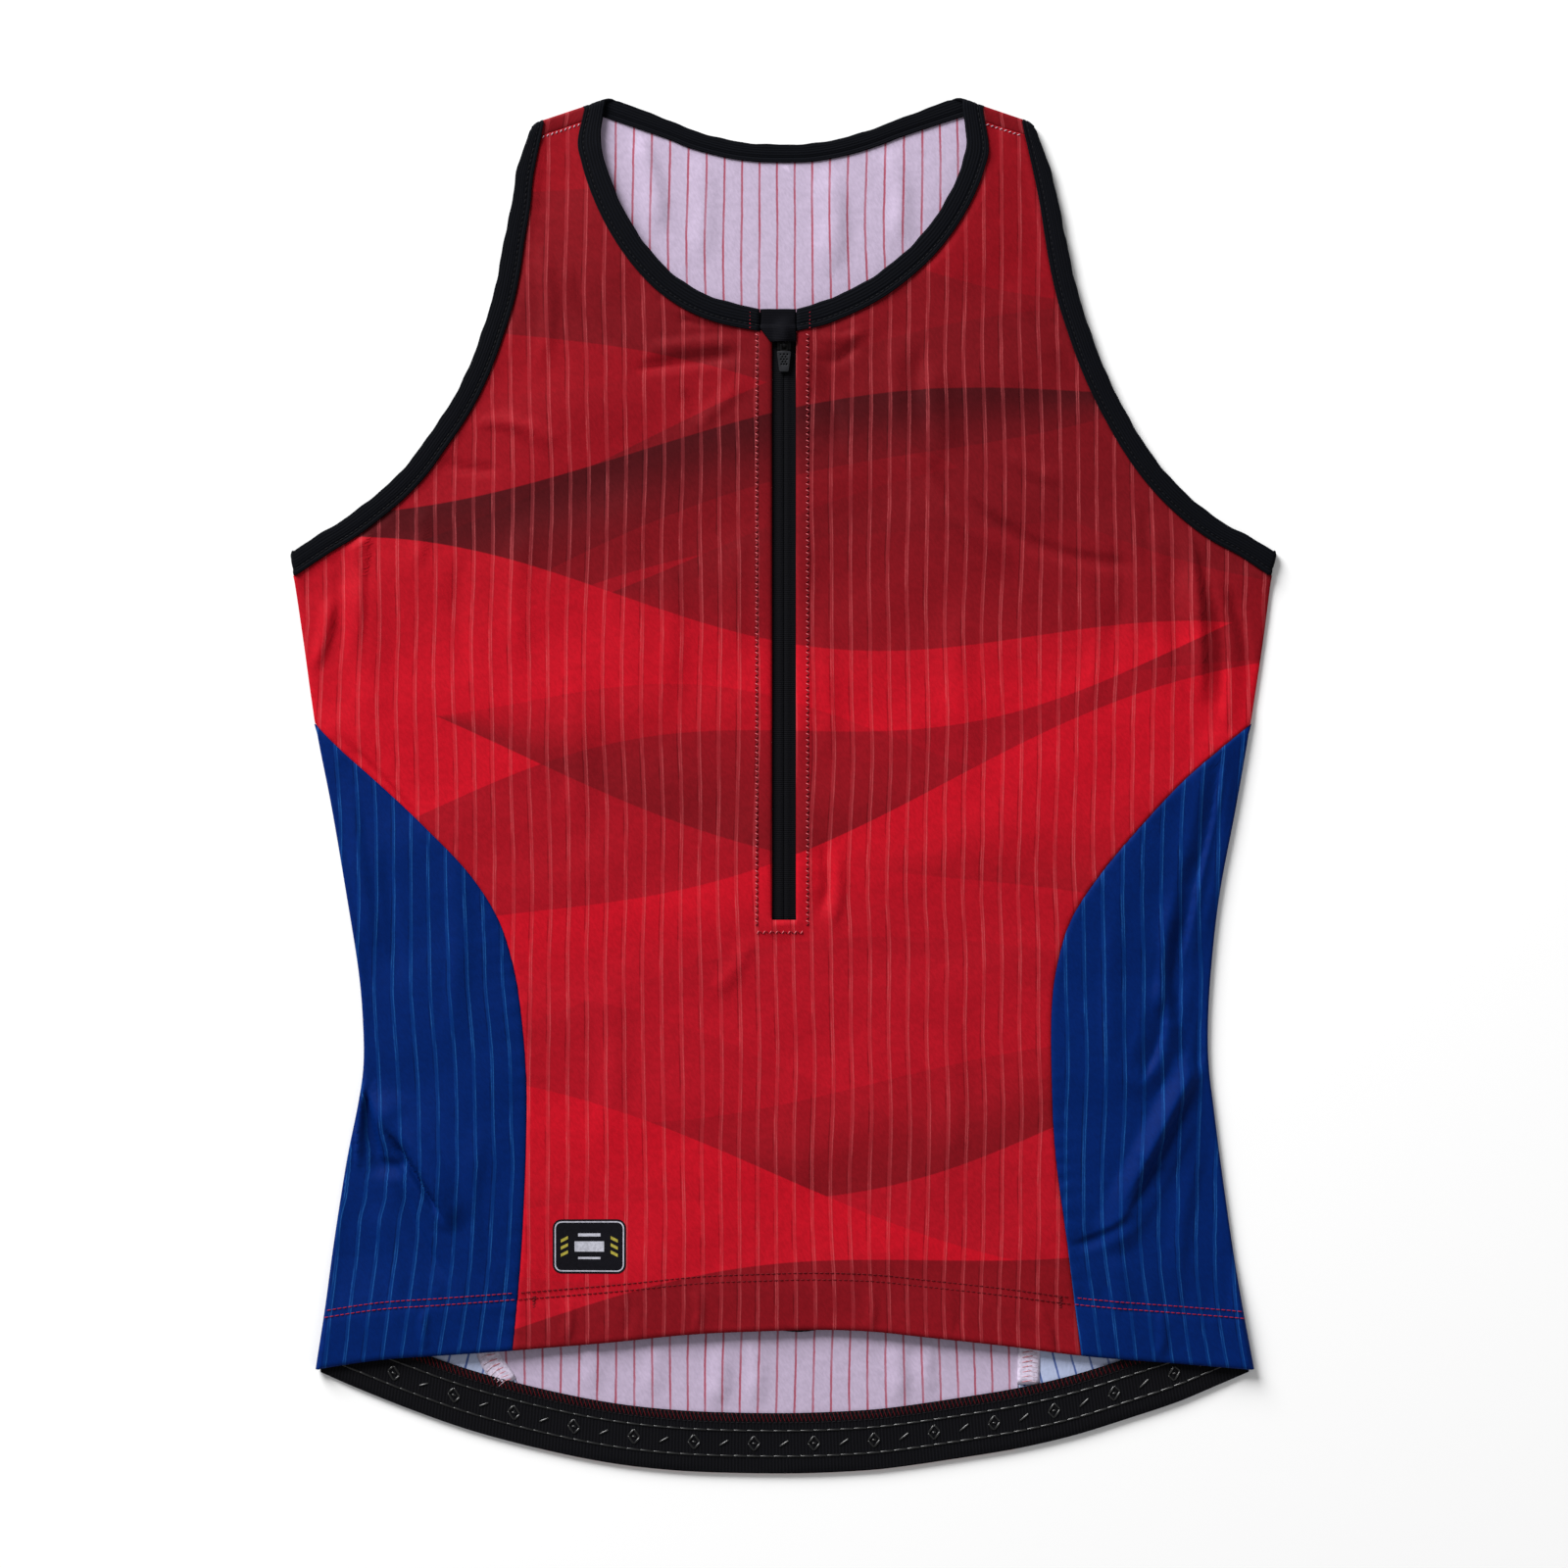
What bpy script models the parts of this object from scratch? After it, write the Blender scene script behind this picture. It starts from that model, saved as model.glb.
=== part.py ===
"""A sleeveless, zip-front triathlon top laid flat with its front up.

It lies on z = 0 with its neck towards +Y. Every size here is in millimetres, and MM turns it to
metres where a mesh is made. The cloth is drawn as its middle surface and thickened to both sides.
"left" and "right" are the sides as seen from above, so left is at -X.
"""

import math

import bmesh
import bpy
from mathutils import Vector

MM = 0.001

# Walls and levels
CLOTH = 1.0  # wall of the panels, the zip tape and the hem band
BINDING = 1.6  # wall of the folded rib bindings
SEAM_GAP = 0.3
LAYER = CLOTH + SEAM_GAP  # from one layer of cloth to the next
BACK_LEVEL = CLOTH / 2
BINDING_BACK_LEVEL = BINDING / 2
BINDING_RISE = 0.4  # the middle of a binding above the middle of the front cloth
BODY_LEVEL = 4.7  # the front cloth away from the folded edges
LOFT_WIDTH = 45.0  # the front cloth rises over this width from its folded edges
LEAST_FRONT_LEVEL = BACK_LEVEL + LAYER

# The front cloth along the folded edges: it is closed down on the back beside the armhole's
# foot, and lifted by the two layers of the hem band at the hem.
EDGE_LEVELS = (  # y, level
    (-310.0, 4.4),
    (-236.0, 4.4),
    (-212.0, 2.5),
    (27.0, 2.5),
    (36.0, LEAST_FRONT_LEVEL),
    (86.0, LEAST_FRONT_LEVEL),
    (95.0, 2.5),
    (310.0, 2.5),
)

SHOULDER_LEVEL = EDGE_LEVELS[-1][1]
FOLD_CALM = 12.0  # folds die out over this width beside the folded edges

# Outline of the body, where the cloth folds round the sides
SIDE_FOLD = (  # y, left x, right x
    (95.0, -220.9, 219.6),
    (66.0, -216.6, 215.9),
    (27.0, -211.0, 210.0),
    (-10.0, -203.8, 203.6),
    (-50.0, -197.0, 196.1),
    (-85.0, -191.5, 192.2),
    (-110.0, -189.5, 190.9),
    (-128.0, -189.5, 191.4),
    (-145.0, -192.0, 193.4),
    (-170.0, -197.0, 196.6),
    (-207.0, -202.8, 201.8),
    (-235.0, -206.5, 206.4),
    (-263.0, -210.8, 211.6),
)

# Seams between the red panels and the blue side panels
FRONT_SEAM = (  # y, left x, right x
    (27.0, -211.0, 210.0),
    (15.0, -199.0, 195.0),
    (0.0, -182.2, 178.0),
    (-20.0, -160.8, 159.3),
    (-40.0, -141.7, 142.5),
    (-60.0, -128.7, 129.4),
    (-80.0, -122.0, 123.0),
    (-100.0, -118.4, 120.3),
    (-130.0, -115.8, 120.2),
    (-165.0, -115.9, 121.8),
    (-205.0, -117.6, 127.0),
    (-235.0, -120.0, 130.9),
    (-262.0, -122.6, 134.4),
)
BACK_SEAM = (  # y, left x, right x
    (27.0, -211.0, 210.0),
    (15.0, -198.0, 196.0),
    (0.0, -181.0, 179.0),
    (-20.0, -162.0, 160.0),
    (-40.0, -145.0, 143.5),
    (-60.0, -133.0, 131.0),
    (-80.0, -127.0, 124.0),
    (-130.0, -123.0, 114.0),
    (-205.0, -127.0, 108.0),
    (-250.0, -130.0, 106.0),
    (-270.0, -120.0, 105.5),
    (-310.0, -108.0, 105.0),
)

FRONT_HEM = (  # x, y
    (-212.0, -263.1),
    (-182.0, -258.6),
    (-152.0, -256.4),
    (-122.0, -254.3),
    (-80.0, -250.9),
    (-42.0, -247.1),
    (-12.0, -245.7),
    (16.0, -245.1),
    (40.0, -245.8),
    (62.0, -248.1),
    (98.0, -252.1),
    (134.0, -256.7),
    (181.0, -260.5),
    (213.0, -263.2),
)
BACK_HEM = (  # x, y
    (-212.0, -262.8),
    (-193.0, -271.2),
    (-166.0, -282.0),
    (-139.0, -291.3),
    (-108.0, -299.4),
    (-79.0, -305.2),
    (-52.0, -308.4),
    (-25.0, -309.8),
    (6.0, -310.0),
    (35.0, -308.8),
    (53.0, -307.0),
    (80.0, -303.0),
    (106.0, -298.6),
    (131.0, -292.7),
    (156.0, -284.9),
    (177.0, -277.9),
    (194.0, -270.8),
    (213.0, -262.7),
)
HEM_SIDE = SIDE_FOLD[-1][0]  # y of the hem at both sides
HEM_BAND_HEIGHT = 27.0
HEM_BAND_INSET = 0.5  # the panels reach past the band by this

# Free edge of each armhole, from the foot to the shoulder
ARMHOLE = (  # y, left x, right x
    (104.6, -222.2, 221.9),
    (109.0, -214.2, 213.0),
    (118.4, -198.4, 195.6),
    (129.8, -183.5, 181.2),
    (141.0, -171.2, 170.6),
    (153.0, -162.2, 161.7),
    (170.0, -150.4, 151.8),
    (187.0, -141.6, 143.6),
    (205.0, -135.0, 136.9),
    (223.0, -129.6, 131.3),
    (244.0, -125.8, 126.7),
    (262.0, -121.9, 123.0),
    (277.4, -119.7, 119.2),
    (289.5, -117.2, 116.2),
)
ARMHOLE_WIDTH = 8.6
ARMHOLE_WIDTH_AT_SHOULDER = 6.6
ARMHOLE_NARROWS_FROM = 0.7  # share of its length
FOOT_Y = 93.6  # the panels end here, just below the armhole binding's fold

# Shoulder folds, from the armhole's free edge to the neck's free edge
SHOULDER = {"left": ((-114.2, 296.9), (-76.5, 309.5)), "right": ((113.2, 297.2), (76.2, 309.8))}
ARMHOLE_ON_FOLD = 5.4  # how much of the fold the armhole binding takes
NECK_ON_FOLD = 13.6  # and the neck binding
NECK_FOLD_GAP = 0.8  # the neck binding crosses the fold at a slant, so its gap is wider there
SHOULDER_SEAM_DROP = 7.6  # from the fold down to the seam on the front

# Free edge of the neck, from the zip to the shoulder on the front, and across the back
FRONT_NECK = {  # x, y
    "left": (
        (-10.9, 213.0),
        (-31.7, 218.2),
        (-47.1, 226.6),
        (-59.0, 238.0),
        (-69.5, 253.0),
        (-77.4, 269.7),
        (-82.2, 286.4),
        (-82.6, 299.0),
    ),
    "right": (
        (5.6, 213.0),
        (18.5, 216.9),
        (36.5, 225.3),
        (51.9, 236.5),
        (63.8, 248.6),
        (73.9, 263.8),
        (80.7, 280.3),
        (83.0, 297.0),
    ),
}
BACK_NECK = (  # x, y
    (-70.6, 307.6),
    (-62.0, 304.0),
    (-47.1, 296.3),
    (-31.7, 291.3),
    (-16.7, 288.3),
    (0.0, 287.6),
    (14.0, 288.2),
    (30.8, 291.7),
    (48.8, 297.9),
    (63.8, 304.7),
    (70.4, 308.0),
)
FRONT_NECK_WIDTH = 9.2
NECK_CORNER_DROP = {"left": 1.4, "right": 0.4}  # from the binding to the panels' corner at the zip
BACK_NECK_WIDTH = 7.2

# The largest folds of the front cloth: each is a soft ridge along a straight stretch
FOLDS = (  # x and y of one end, x and y of the other, width, height
    (184.0, -131.0, 166.0, -168.0, 13.0, 3.4),
    (166.0, -168.0, 150.0, -200.0, 13.0, 2.6),
    (172.0, -100.0, 160.0, -130.0, 14.0, 1.5),
    (-180.0, -150.0, -155.0, -191.0, 13.0, 2.8),
    (196.0, 14.0, 177.0, -72.0, 15.0, 1.6),
    (-188.0, 84.0, -186.0, 40.0, 14.0, 1.4),
    (186.0, 86.0, 200.0, 36.0, 14.0, 1.6),
    (56.0, 190.0, 64.0, 146.0, 18.0, 1.6),
    (64.0, 146.0, 92.0, 106.0, 18.0, 1.3),
    (-70.0, 120.0, -60.0, 40.0, 22.0, 1.2),
)

# Zip
ZIP_BOTTOM = -61.0
ZIP_TOP = 212.0
ZIP_OPENING = 11.0  # width of the slit in the front panel
TAPE_WIDTH = 11.2
TAPE_BELOW_OPENING = 4.0
CHAIN_WIDTH = 3.2
CHAIN_THICKNESS = 1.2
SLIDER_FOOT = 195.0
SLIDER_LENGTH = 9.0
SLIDER_WIDTH = 6.0
SLIDER_PLATE = 0.7
SLIDER_WEB = 1.2
SLIDER_OVERLAP = 0.3  # how far its joined pieces run into each other
TAPE_PARTS_BELOW = 3.0  # the tapes start to part this far below the slider
CHAIN_BELOW_SLIDER = 0.5
TAPE_PARTING = 1.0  # from the middle to each tape where the slider's web stands between them
HINGE_Y = 197.0
LUG_RADIUS = 1.45
LUG_HOLE_RADIUS = 0.95
LUG_THICKNESS = 1.2
LUG_LIFT = 0.1  # from the slider's upper plate to the lug's hole
PULL_THICKNESS = 1.0
PULL_BAR = 0.7
PULL_WINDOW = (2.0, 1.85)  # width and length of the hole that the lug passes through
PULL_NECK = (3.4, 2.7)  # width, and length below the hinge
PULL_WIDEST = (6.3, 4.4)
PULL_TIP = (4.2, 12.0)
PULL_CORNER = 0.7
PULL_SLOPE = math.radians(5.0)

# Zip garage: the cloth cap over the slider
GARAGE_FOOT = 198.4
GARAGE_TOP = 213.2
GARAGE_RIGHT = 5.3
GARAGE_LEFT = ((198.4, -5.9), (201.5, -8.4), (204.5, -10.6), (213.2, -10.6))  # y, x
GARAGE_ON_TAPE = 5.1  # its middle where it lies between the ends of the neck binding
GARAGE_ON_FRONT = 6.05  # and where it laps the front panel
GARAGE_CROWN = 8.15  # and over the lug
GARAGE_STEP = (204.4, 2.2)  # it drops from the front on to the tape: where, and over how much
GARAGE_SWELL = (201.0, 10.0)  # its crown fades out: where, and over how much

# Spans of the edges that two pieces share, so that both have the same corners there
SEAM_SPANS = 22
SEAM_SPANS_BELOW_ZIP = 14
FOLD_SPANS = 4
ARMHOLE_SPANS = 16
ARMHOLE_SPANS_BELOW_NECK = 9
NECK_SPANS = 14
BACK_NECK_SPANS = 7
SEAM_TOP = 23.0  # the side panels' blunt tips
FRONT_SEAM_HEM_X = 124.0  # about where the seams meet the hems
BACK_SEAM_HEM_X = 106.0
FRONT_COLUMNS = 9  # of each half
BACK_COLUMNS = 4
SIDE_FRONT_COLUMNS = 9
SIDE_BACK_COLUMNS = 4
BAND_COLUMNS = 3
BAND_STATIONS = 18  # across the front, and again across the back
SEAM_INSET = 0.22  # from a seam's middle to each piece, along X
FOLD_INSET = 0.4  # the red panels stop this far inside the side outline
HEM_ROWS = 4  # rows of a panel that bend towards the hem's curve
TAPE_COLUMNS = 3
TAPE_STATIONS = 16
CHAIN_STATIONS = 12
GARAGE_COLUMNS = 8
GARAGE_STATIONS = 9
LUG_ARCS = 12
PULL_ARCS = 3
EDGE_SAMPLES = 40  # points of each folded edge from which the loft is measured
SHOULDER_SAMPLES = 4
WELD = 0.02  # points closer than this are one point
TURN_ANGLES = (60.0, 20.0, -20.0, -60.0)  # stations round a folded edge

COLOURS = {  # red, green, blue, roughness, metallic
    "red_print": (0.45, 0.02, 0.03, 0.75, 0.0),
    "blue_print": (0.01, 0.03, 0.17, 0.75, 0.0),
    "black_rib": (0.008, 0.008, 0.012, 0.85, 0.0),
    "black_tape": (0.01, 0.01, 0.013, 0.8, 0.0),
    "black_elastic": (0.012, 0.012, 0.014, 0.6, 0.0),
    "dark_plastic": (0.03, 0.032, 0.035, 0.4, 0.0),
    "dark_metal": (0.02, 0.02, 0.022, 0.35, 0.6),
}


# ---------------------------------------------------------------- curves


def smoothstep(share):
    """Runs softly from 0 to 1 as share does."""
    share = min(max(share, 0.0), 1.0)
    return share * share * (3.0 - 2.0 * share)


def along_table(rows, key, column=1):
    """The value of a table's column at key, in a straight line between its rows."""
    rows = sorted(rows)
    if key <= rows[0][0]:
        return rows[0][column]
    for low, high in zip(rows, rows[1:]):
        if key <= high[0]:
            share = (key - low[0]) / (high[0] - low[0])
            return low[column] + (high[column] - low[column]) * share
    return rows[-1][column]


def smooth_curve(points, steps=8):
    """A smooth curve through the points, as a function of the share of its length."""
    points = [Vector(p) for p in points]
    ends = [2 * points[0] - points[1], *points, 2 * points[-1] - points[-2]]
    dense = []
    for before, start, stop, after in zip(ends, ends[1:], ends[2:], ends[3:]):
        for step in range(steps):
            t = step / steps
            dense.append(
                0.5
                * (
                    2 * start
                    + (stop - before) * t
                    + (2 * before - 5 * start + 4 * stop - after) * t * t
                    + (3 * start - before - 3 * stop + after) * t**3
                )
            )
    dense.append(points[-1])
    return polyline(dense)


def polyline(points):
    """A line through the points, as a function of the share of its length."""
    points = [Vector(p) for p in points]
    marks = [0.0]
    for a, b in zip(points, points[1:]):
        marks.append(marks[-1] + (b - a).length)

    def at(share):
        mark = min(max(share, 0.0), 1.0) * marks[-1]
        for i in range(len(marks) - 2):
            if mark <= marks[i + 1]:
                break
        else:
            i = len(marks) - 2
        span = marks[i + 1] - marks[i]
        return points[i].lerp(points[i + 1], (mark - marks[i]) / span)

    return at


def beside(curve, distance, widen=None):
    """A curve to the left of another as it runs, or to its right for a negative distance."""
    step = 0.01

    def at(share):
        ahead = curve(min(share + step, 1.0)) - curve(max(share - step, 0.0))
        normal = Vector((-ahead.y, ahead.x)).normalized()
        return curve(share) + normal * (distance * (widen(share) if widen else 1.0))

    return at


def column_curve(rows, side):
    """The curve of one side of a table whose rows are y, left x, right x."""
    column = 1 if side == "left" else 2
    return smooth_curve([(row[column], row[0]) for row in rows])


def share_at_height(curve, y):
    """The share of its length at which a curve that runs steadily down passes y."""
    low, high = 0.0, 1.0
    for _ in range(30):
        middle = (low + high) / 2
        if curve(middle).y > y:
            low = middle
        else:
            high = middle
    return (low + high) / 2


def sign_of(side):
    return -1.0 if side == "left" else 1.0


def points_on(curve, spans, start=0.0, stop=1.0):
    """Evenly spaced points of a curve."""
    return [curve(start + (stop - start) * i / spans) for i in range(spans + 1)]


def straight(start, stop, spans):
    """Evenly spaced points from one point to another."""
    start, stop = Vector(start), Vector(stop)
    return [start.lerp(stop, i / spans) for i in range(spans + 1)]


def subdivided(points, parts):
    """Adds points in each span, which leave the line's shape as it is."""
    fine = [points[0]]
    for a, b in zip(points, points[1:]):
        fine += straight(a, b, parts)[1:]
    return fine


def joined(*lines):
    """Lines end to end, without the first point of each later one."""
    whole = list(lines[0])
    for line in lines[1:]:
        whole += line[1:]
    return whole


def toward(point, other, distance):
    return point + (other - point).normalized() * distance


def between_heights(curve, low_y, high_y, spans):
    """Evenly spaced points of a table's curve, which runs downwards, from low_y up to high_y."""
    start = share_at_height(curve, low_y)
    stop = share_at_height(curve, high_y)
    return points_on(curve, spans, start, stop)


# ---------------------------------------------------------------- outlines


def shoulder_line(side):
    arm, neck = (Vector(p) for p in SHOULDER[side])
    return arm, neck


def shoulder_outward(side):
    """The level direction out of the shoulder fold."""
    arm, neck = shoulder_line(side)
    along = (neck - arm).normalized()
    outward = Vector((-along.y, along.x))
    return outward if outward.y > 0 else -outward


def armhole_free(side):
    """The armhole's free edge from its foot to just below the shoulder."""
    return column_curve(ARMHOLE, side)


def armhole_narrowing(share):
    """The armhole binding's width as a share of its full width."""
    lost = 1.0 - ARMHOLE_WIDTH_AT_SHOULDER / ARMHOLE_WIDTH
    return 1.0 - lost * smoothstep((share - ARMHOLE_NARROWS_FROM) / (1.0 - ARMHOLE_NARROWS_FROM))


def armhole_inside(side, extra=0.0):
    """The armhole edge of the panels, or of the binding with extra = 0."""
    toward_cloth = 1.0 if side == "right" else -1.0
    return beside(armhole_free(side), toward_cloth * (ARMHOLE_WIDTH + extra), armhole_narrowing)


def neck_free(side):
    return smooth_curve(FRONT_NECK[side])


def neck_inside(side, extra=0.0):
    toward_cloth = 1.0 if side == "left" else -1.0
    return beside(neck_free(side), toward_cloth * (FRONT_NECK_WIDTH + extra))


def back_neck_inside(extra=0.0):
    """The back neck's sewn edge, from left to right."""
    return beside(smooth_curve(BACK_NECK), -(BACK_NECK_WIDTH + extra))


def fold_point(side, from_arm):
    """The point of the shoulder fold at a distance from the armhole's free edge."""
    arm, neck = shoulder_line(side)
    return arm + (neck - arm).normalized() * from_arm


def strap_on_fold(side):
    """The ends of the panels' strap on the shoulder fold, at the armhole and at the neck."""
    arm, neck = shoulder_line(side)
    whole = (neck - arm).length
    return (
        fold_point(side, ARMHOLE_ON_FOLD + SEAM_GAP),
        fold_point(side, whole - NECK_ON_FOLD - NECK_FOLD_GAP),
    )


def cloth_tuck(side):
    """From the shoulder's outline to where the cloth starts to turn."""
    return shoulder_outward(side) * -(CLOTH / 2 + (SHOULDER_LEVEL - BACK_LEVEL) / 2)


def armhole_of_panels(side):
    """The panels' armhole edge, from the foot to where the cloth turns over the shoulder."""
    curve = armhole_inside(side, SEAM_GAP)
    foot_x = column_curve(SIDE_FOLD, side)(0.0).x - sign_of(side) * FOLD_INSET
    return [
        Vector((foot_x, FOOT_Y)),
        *points_on(curve, ARMHOLE_SPANS)[1:-1],
        strap_on_fold(side)[0] + cloth_tuck(side),
    ]


def front_neck_of_panels(side):
    """The panels' front neck edge, from the zip to the turn over the shoulder."""
    curve = neck_inside(side, SEAM_GAP)
    points = points_on(curve, NECK_SPANS)[:-1]
    points[0].x = sign_of(side) * ZIP_OPENING / 2
    points[0].y = neck_inside(side)(0.0).y - NECK_CORNER_DROP[side]
    return [*points, strap_on_fold(side)[1] + cloth_tuck(side)]


def back_neck_of_panels(side):
    """The back panel's neck edge, from the middle to the turn over the shoulder."""
    stop = 0.0 if side == "left" else 1.0
    points = points_on(back_neck_inside(SEAM_GAP), BACK_NECK_SPANS, 0.5, stop)[:-1]
    points[0].x = 0.0
    return [*points, strap_on_fold(side)[1] + cloth_tuck(side)]


def folded_edges():
    """Points along the edges from which the front cloth rises."""
    points = []
    for side in ("left", "right"):
        for curve in (column_curve(SIDE_FOLD, side), armhole_inside(side)):
            points += points_on(curve, EDGE_SAMPLES)
        points += straight(*shoulder_line(side), SHOULDER_SAMPLES)
    return points


FOLDED_EDGES = folded_edges()


def fold_height(x, y):
    """How far the folds lift the cloth at a point."""
    height = 0.0
    for x0, y0, x1, y1, width, rise in FOLDS:
        start, run = Vector((x0, y0)), Vector((x1 - x0, y1 - y0))
        offset = Vector((x, y)) - start
        share = offset.dot(run) / run.length_squared
        nearest = run * min(max(share, 0.0), 1.0)
        away = (offset - nearest).length
        height = max(height, rise * (1.0 - smoothstep(away / width)))
    return height


def front_height(x, y):
    """The middle of the front cloth above the ground."""
    point = Vector((x, y))
    edge = along_table(EDGE_LEVELS, y)
    away = min((point - p).length for p in FOLDED_EDGES)
    rise = smoothstep(away / LOFT_WIDTH)
    calm = smoothstep(away / FOLD_CALM)
    return edge + (BODY_LEVEL - edge) * rise + fold_height(x, y) * calm


def on_front(point, lift=0.0):
    return Vector((point.x, point.y, front_height(point.x, point.y) + lift))


def at_level(point, level):
    return Vector((point.x, point.y, level))


def turn(outline, outward, wall, top, bottom):
    """Points round a folded edge, from the upper layer down to the lower one.

    outline is the outermost point, and outward the level direction in which it faces.
    """
    radius = (top - bottom) / 2
    centre = outline - outward * (wall / 2 + radius)
    middle = (top + bottom) / 2
    for angle in TURN_ANGLES:
        lean = math.radians(angle)
        out = centre + outward * (radius * math.cos(lean))
        yield at_level(out, middle + radius * math.sin(lean))


# ---------------------------------------------------------------- meshes


def material(name):
    """The Principled material of that name, which is made once."""
    found = bpy.data.materials.get(name)
    if found:
        return found
    red, green, blue, roughness, metallic = COLOURS[name]
    made = bpy.data.materials.new(name)
    made.use_nodes = True
    shader = made.node_tree.nodes["Principled BSDF"]
    shader.inputs["Base Color"].default_value = (red, green, blue, 1.0)
    shader.inputs["Roughness"].default_value = roughness
    shader.inputs["Metallic"].default_value = metallic
    return made


def add_object(name, mesh, slot, collection=None):
    made = bpy.data.objects.new(name, mesh)
    made.data.materials.append(material(slot))
    (collection or TOP).objects.link(made)
    return made


def sheet(name, grids, wall, slot, closed=False):
    """One piece of cloth from grids of points, welded where they share points, and thickened."""
    build = bmesh.new()
    for rows in grids:
        corners = [[build.verts.new(p * MM) for p in row] for row in rows]
        if closed:
            corners.append(corners[0])
        for low, high in zip(corners, corners[1:]):
            for i in range(len(low) - 1):
                build.faces.new((low[i], low[i + 1], high[i + 1], high[i]))
    bmesh.ops.remove_doubles(build, verts=build.verts, dist=WELD * MM)
    bmesh.ops.recalc_face_normals(build, faces=build.faces)
    mesh = bpy.data.meshes.new(name)
    build.to_mesh(mesh)
    build.free()
    mesh.shade_smooth()
    made = add_object(name, mesh, slot)
    thicken = made.modifiers.new("wall", "SOLIDIFY")
    thicken.thickness = wall * MM
    thicken.offset = 0.0
    thicken.use_even_offset = True
    return made


def ruled(inner, outer, columns):
    """Rows of points straight across from one line to another."""
    return [straight(start, stop, columns) for start, stop in zip(inner, outer, strict=True)]


def bend_to_hem(rows, hem):
    """Moves the first rows so that the first one lies on the hem's curve."""
    for number, row in enumerate(rows[:HEM_ROWS]):
        fade = 1.0 - number / HEM_ROWS
        first, last = rows[0][0], rows[0][-1]
        for i, point in enumerate(row):
            base = first.lerp(last, i / (len(row) - 1))
            point.y += (along_table(hem, base.x) - base.y) * fade
    return rows


# ---------------------------------------------------------------- panels


def seam_points(table, side, hem, hem_x, shift):
    """The corners of a side seam from the hem up to the side panel's tip, moved along X."""
    hem_y = along_table(hem, sign_of(side) * hem_x)
    line = between_heights(column_curve(table, side), hem_y, SEAM_TOP, SEAM_SPANS)
    return [point + Vector((shift, 0.0)) for point in line]


def side_edge(side):
    """The red panels' edge at the side, from the side panel's tip to the armhole's foot."""
    fold = column_curve(SIDE_FOLD, side)
    line = between_heights(fold, FRONT_SEAM[0][0], FOOT_Y, FOLD_SPANS - 1)
    return [point - Vector((sign_of(side) * FOLD_INSET, 0.0)) for point in line[:-1]]


def red_outer_edge(side, table, hem, hem_x):
    """The whole side of a red panel, from the hem to the turn over the shoulder."""
    inset = -sign_of(side) * SEAM_INSET
    seam = seam_points(table, side, hem, hem_x, inset)
    return seam, side_edge(side), armhole_of_panels(side)


def front_half(side):
    """Half of the front panel, from the zip opening out, as rows from the hem to the shoulder."""
    edge_x = sign_of(side) * ZIP_OPENING / 2
    seam, edge, armhole = red_outer_edge(side, FRONT_SEAM, FRONT_HEM, FRONT_SEAM_HEM_X)
    neck = front_neck_of_panels(side)
    turned_by = cloth_tuck(side).length
    for line in (armhole, neck):
        line[-1] = toward(line[-1], line[-2], SHOULDER_SEAM_DROP - turned_by)
    low, high = armhole[: ARMHOLE_SPANS_BELOW_NECK + 1], armhole[ARMHOLE_SPANS_BELOW_NECK:]
    outer = [*seam, *edge, *low, *subdivided(high, NECK_SPANS // (len(high) - 1))[1:]]
    spans_above = SEAM_SPANS - SEAM_SPANS_BELOW_ZIP
    seam_top, foot = Vector((edge_x, SEAM_TOP)), Vector((edge_x, FOOT_Y))
    inner = joined(
        straight((edge_x, along_table(FRONT_HEM, 0.0)), (edge_x, ZIP_BOTTOM), SEAM_SPANS_BELOW_ZIP),
        straight((edge_x, ZIP_BOTTOM), seam_top, spans_above),
        straight(seam_top, foot, len(edge) + 1),
        straight(foot, neck[0], ARMHOLE_SPANS_BELOW_NECK),
        neck,
    )
    return bend_to_hem(ruled(inner, outer, FRONT_COLUMNS), FRONT_HEM)


def front_panel():
    """The front with its slit, from the side seams and armholes to the zip."""
    halves = [front_half("left"), front_half("right")]
    below_slit = SEAM_SPANS_BELOW_ZIP + 1
    middle = []
    for left, right in zip(halves[0][:below_slit], halves[1][:below_slit]):
        middle.append([left[0], left[0].lerp(right[0], 0.5), right[0]])
    grids = [[[on_front(p) for p in row] for row in rows] for rows in (*halves, middle)]
    return sheet("front_panel", grids, CLOTH, "red_print")


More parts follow.
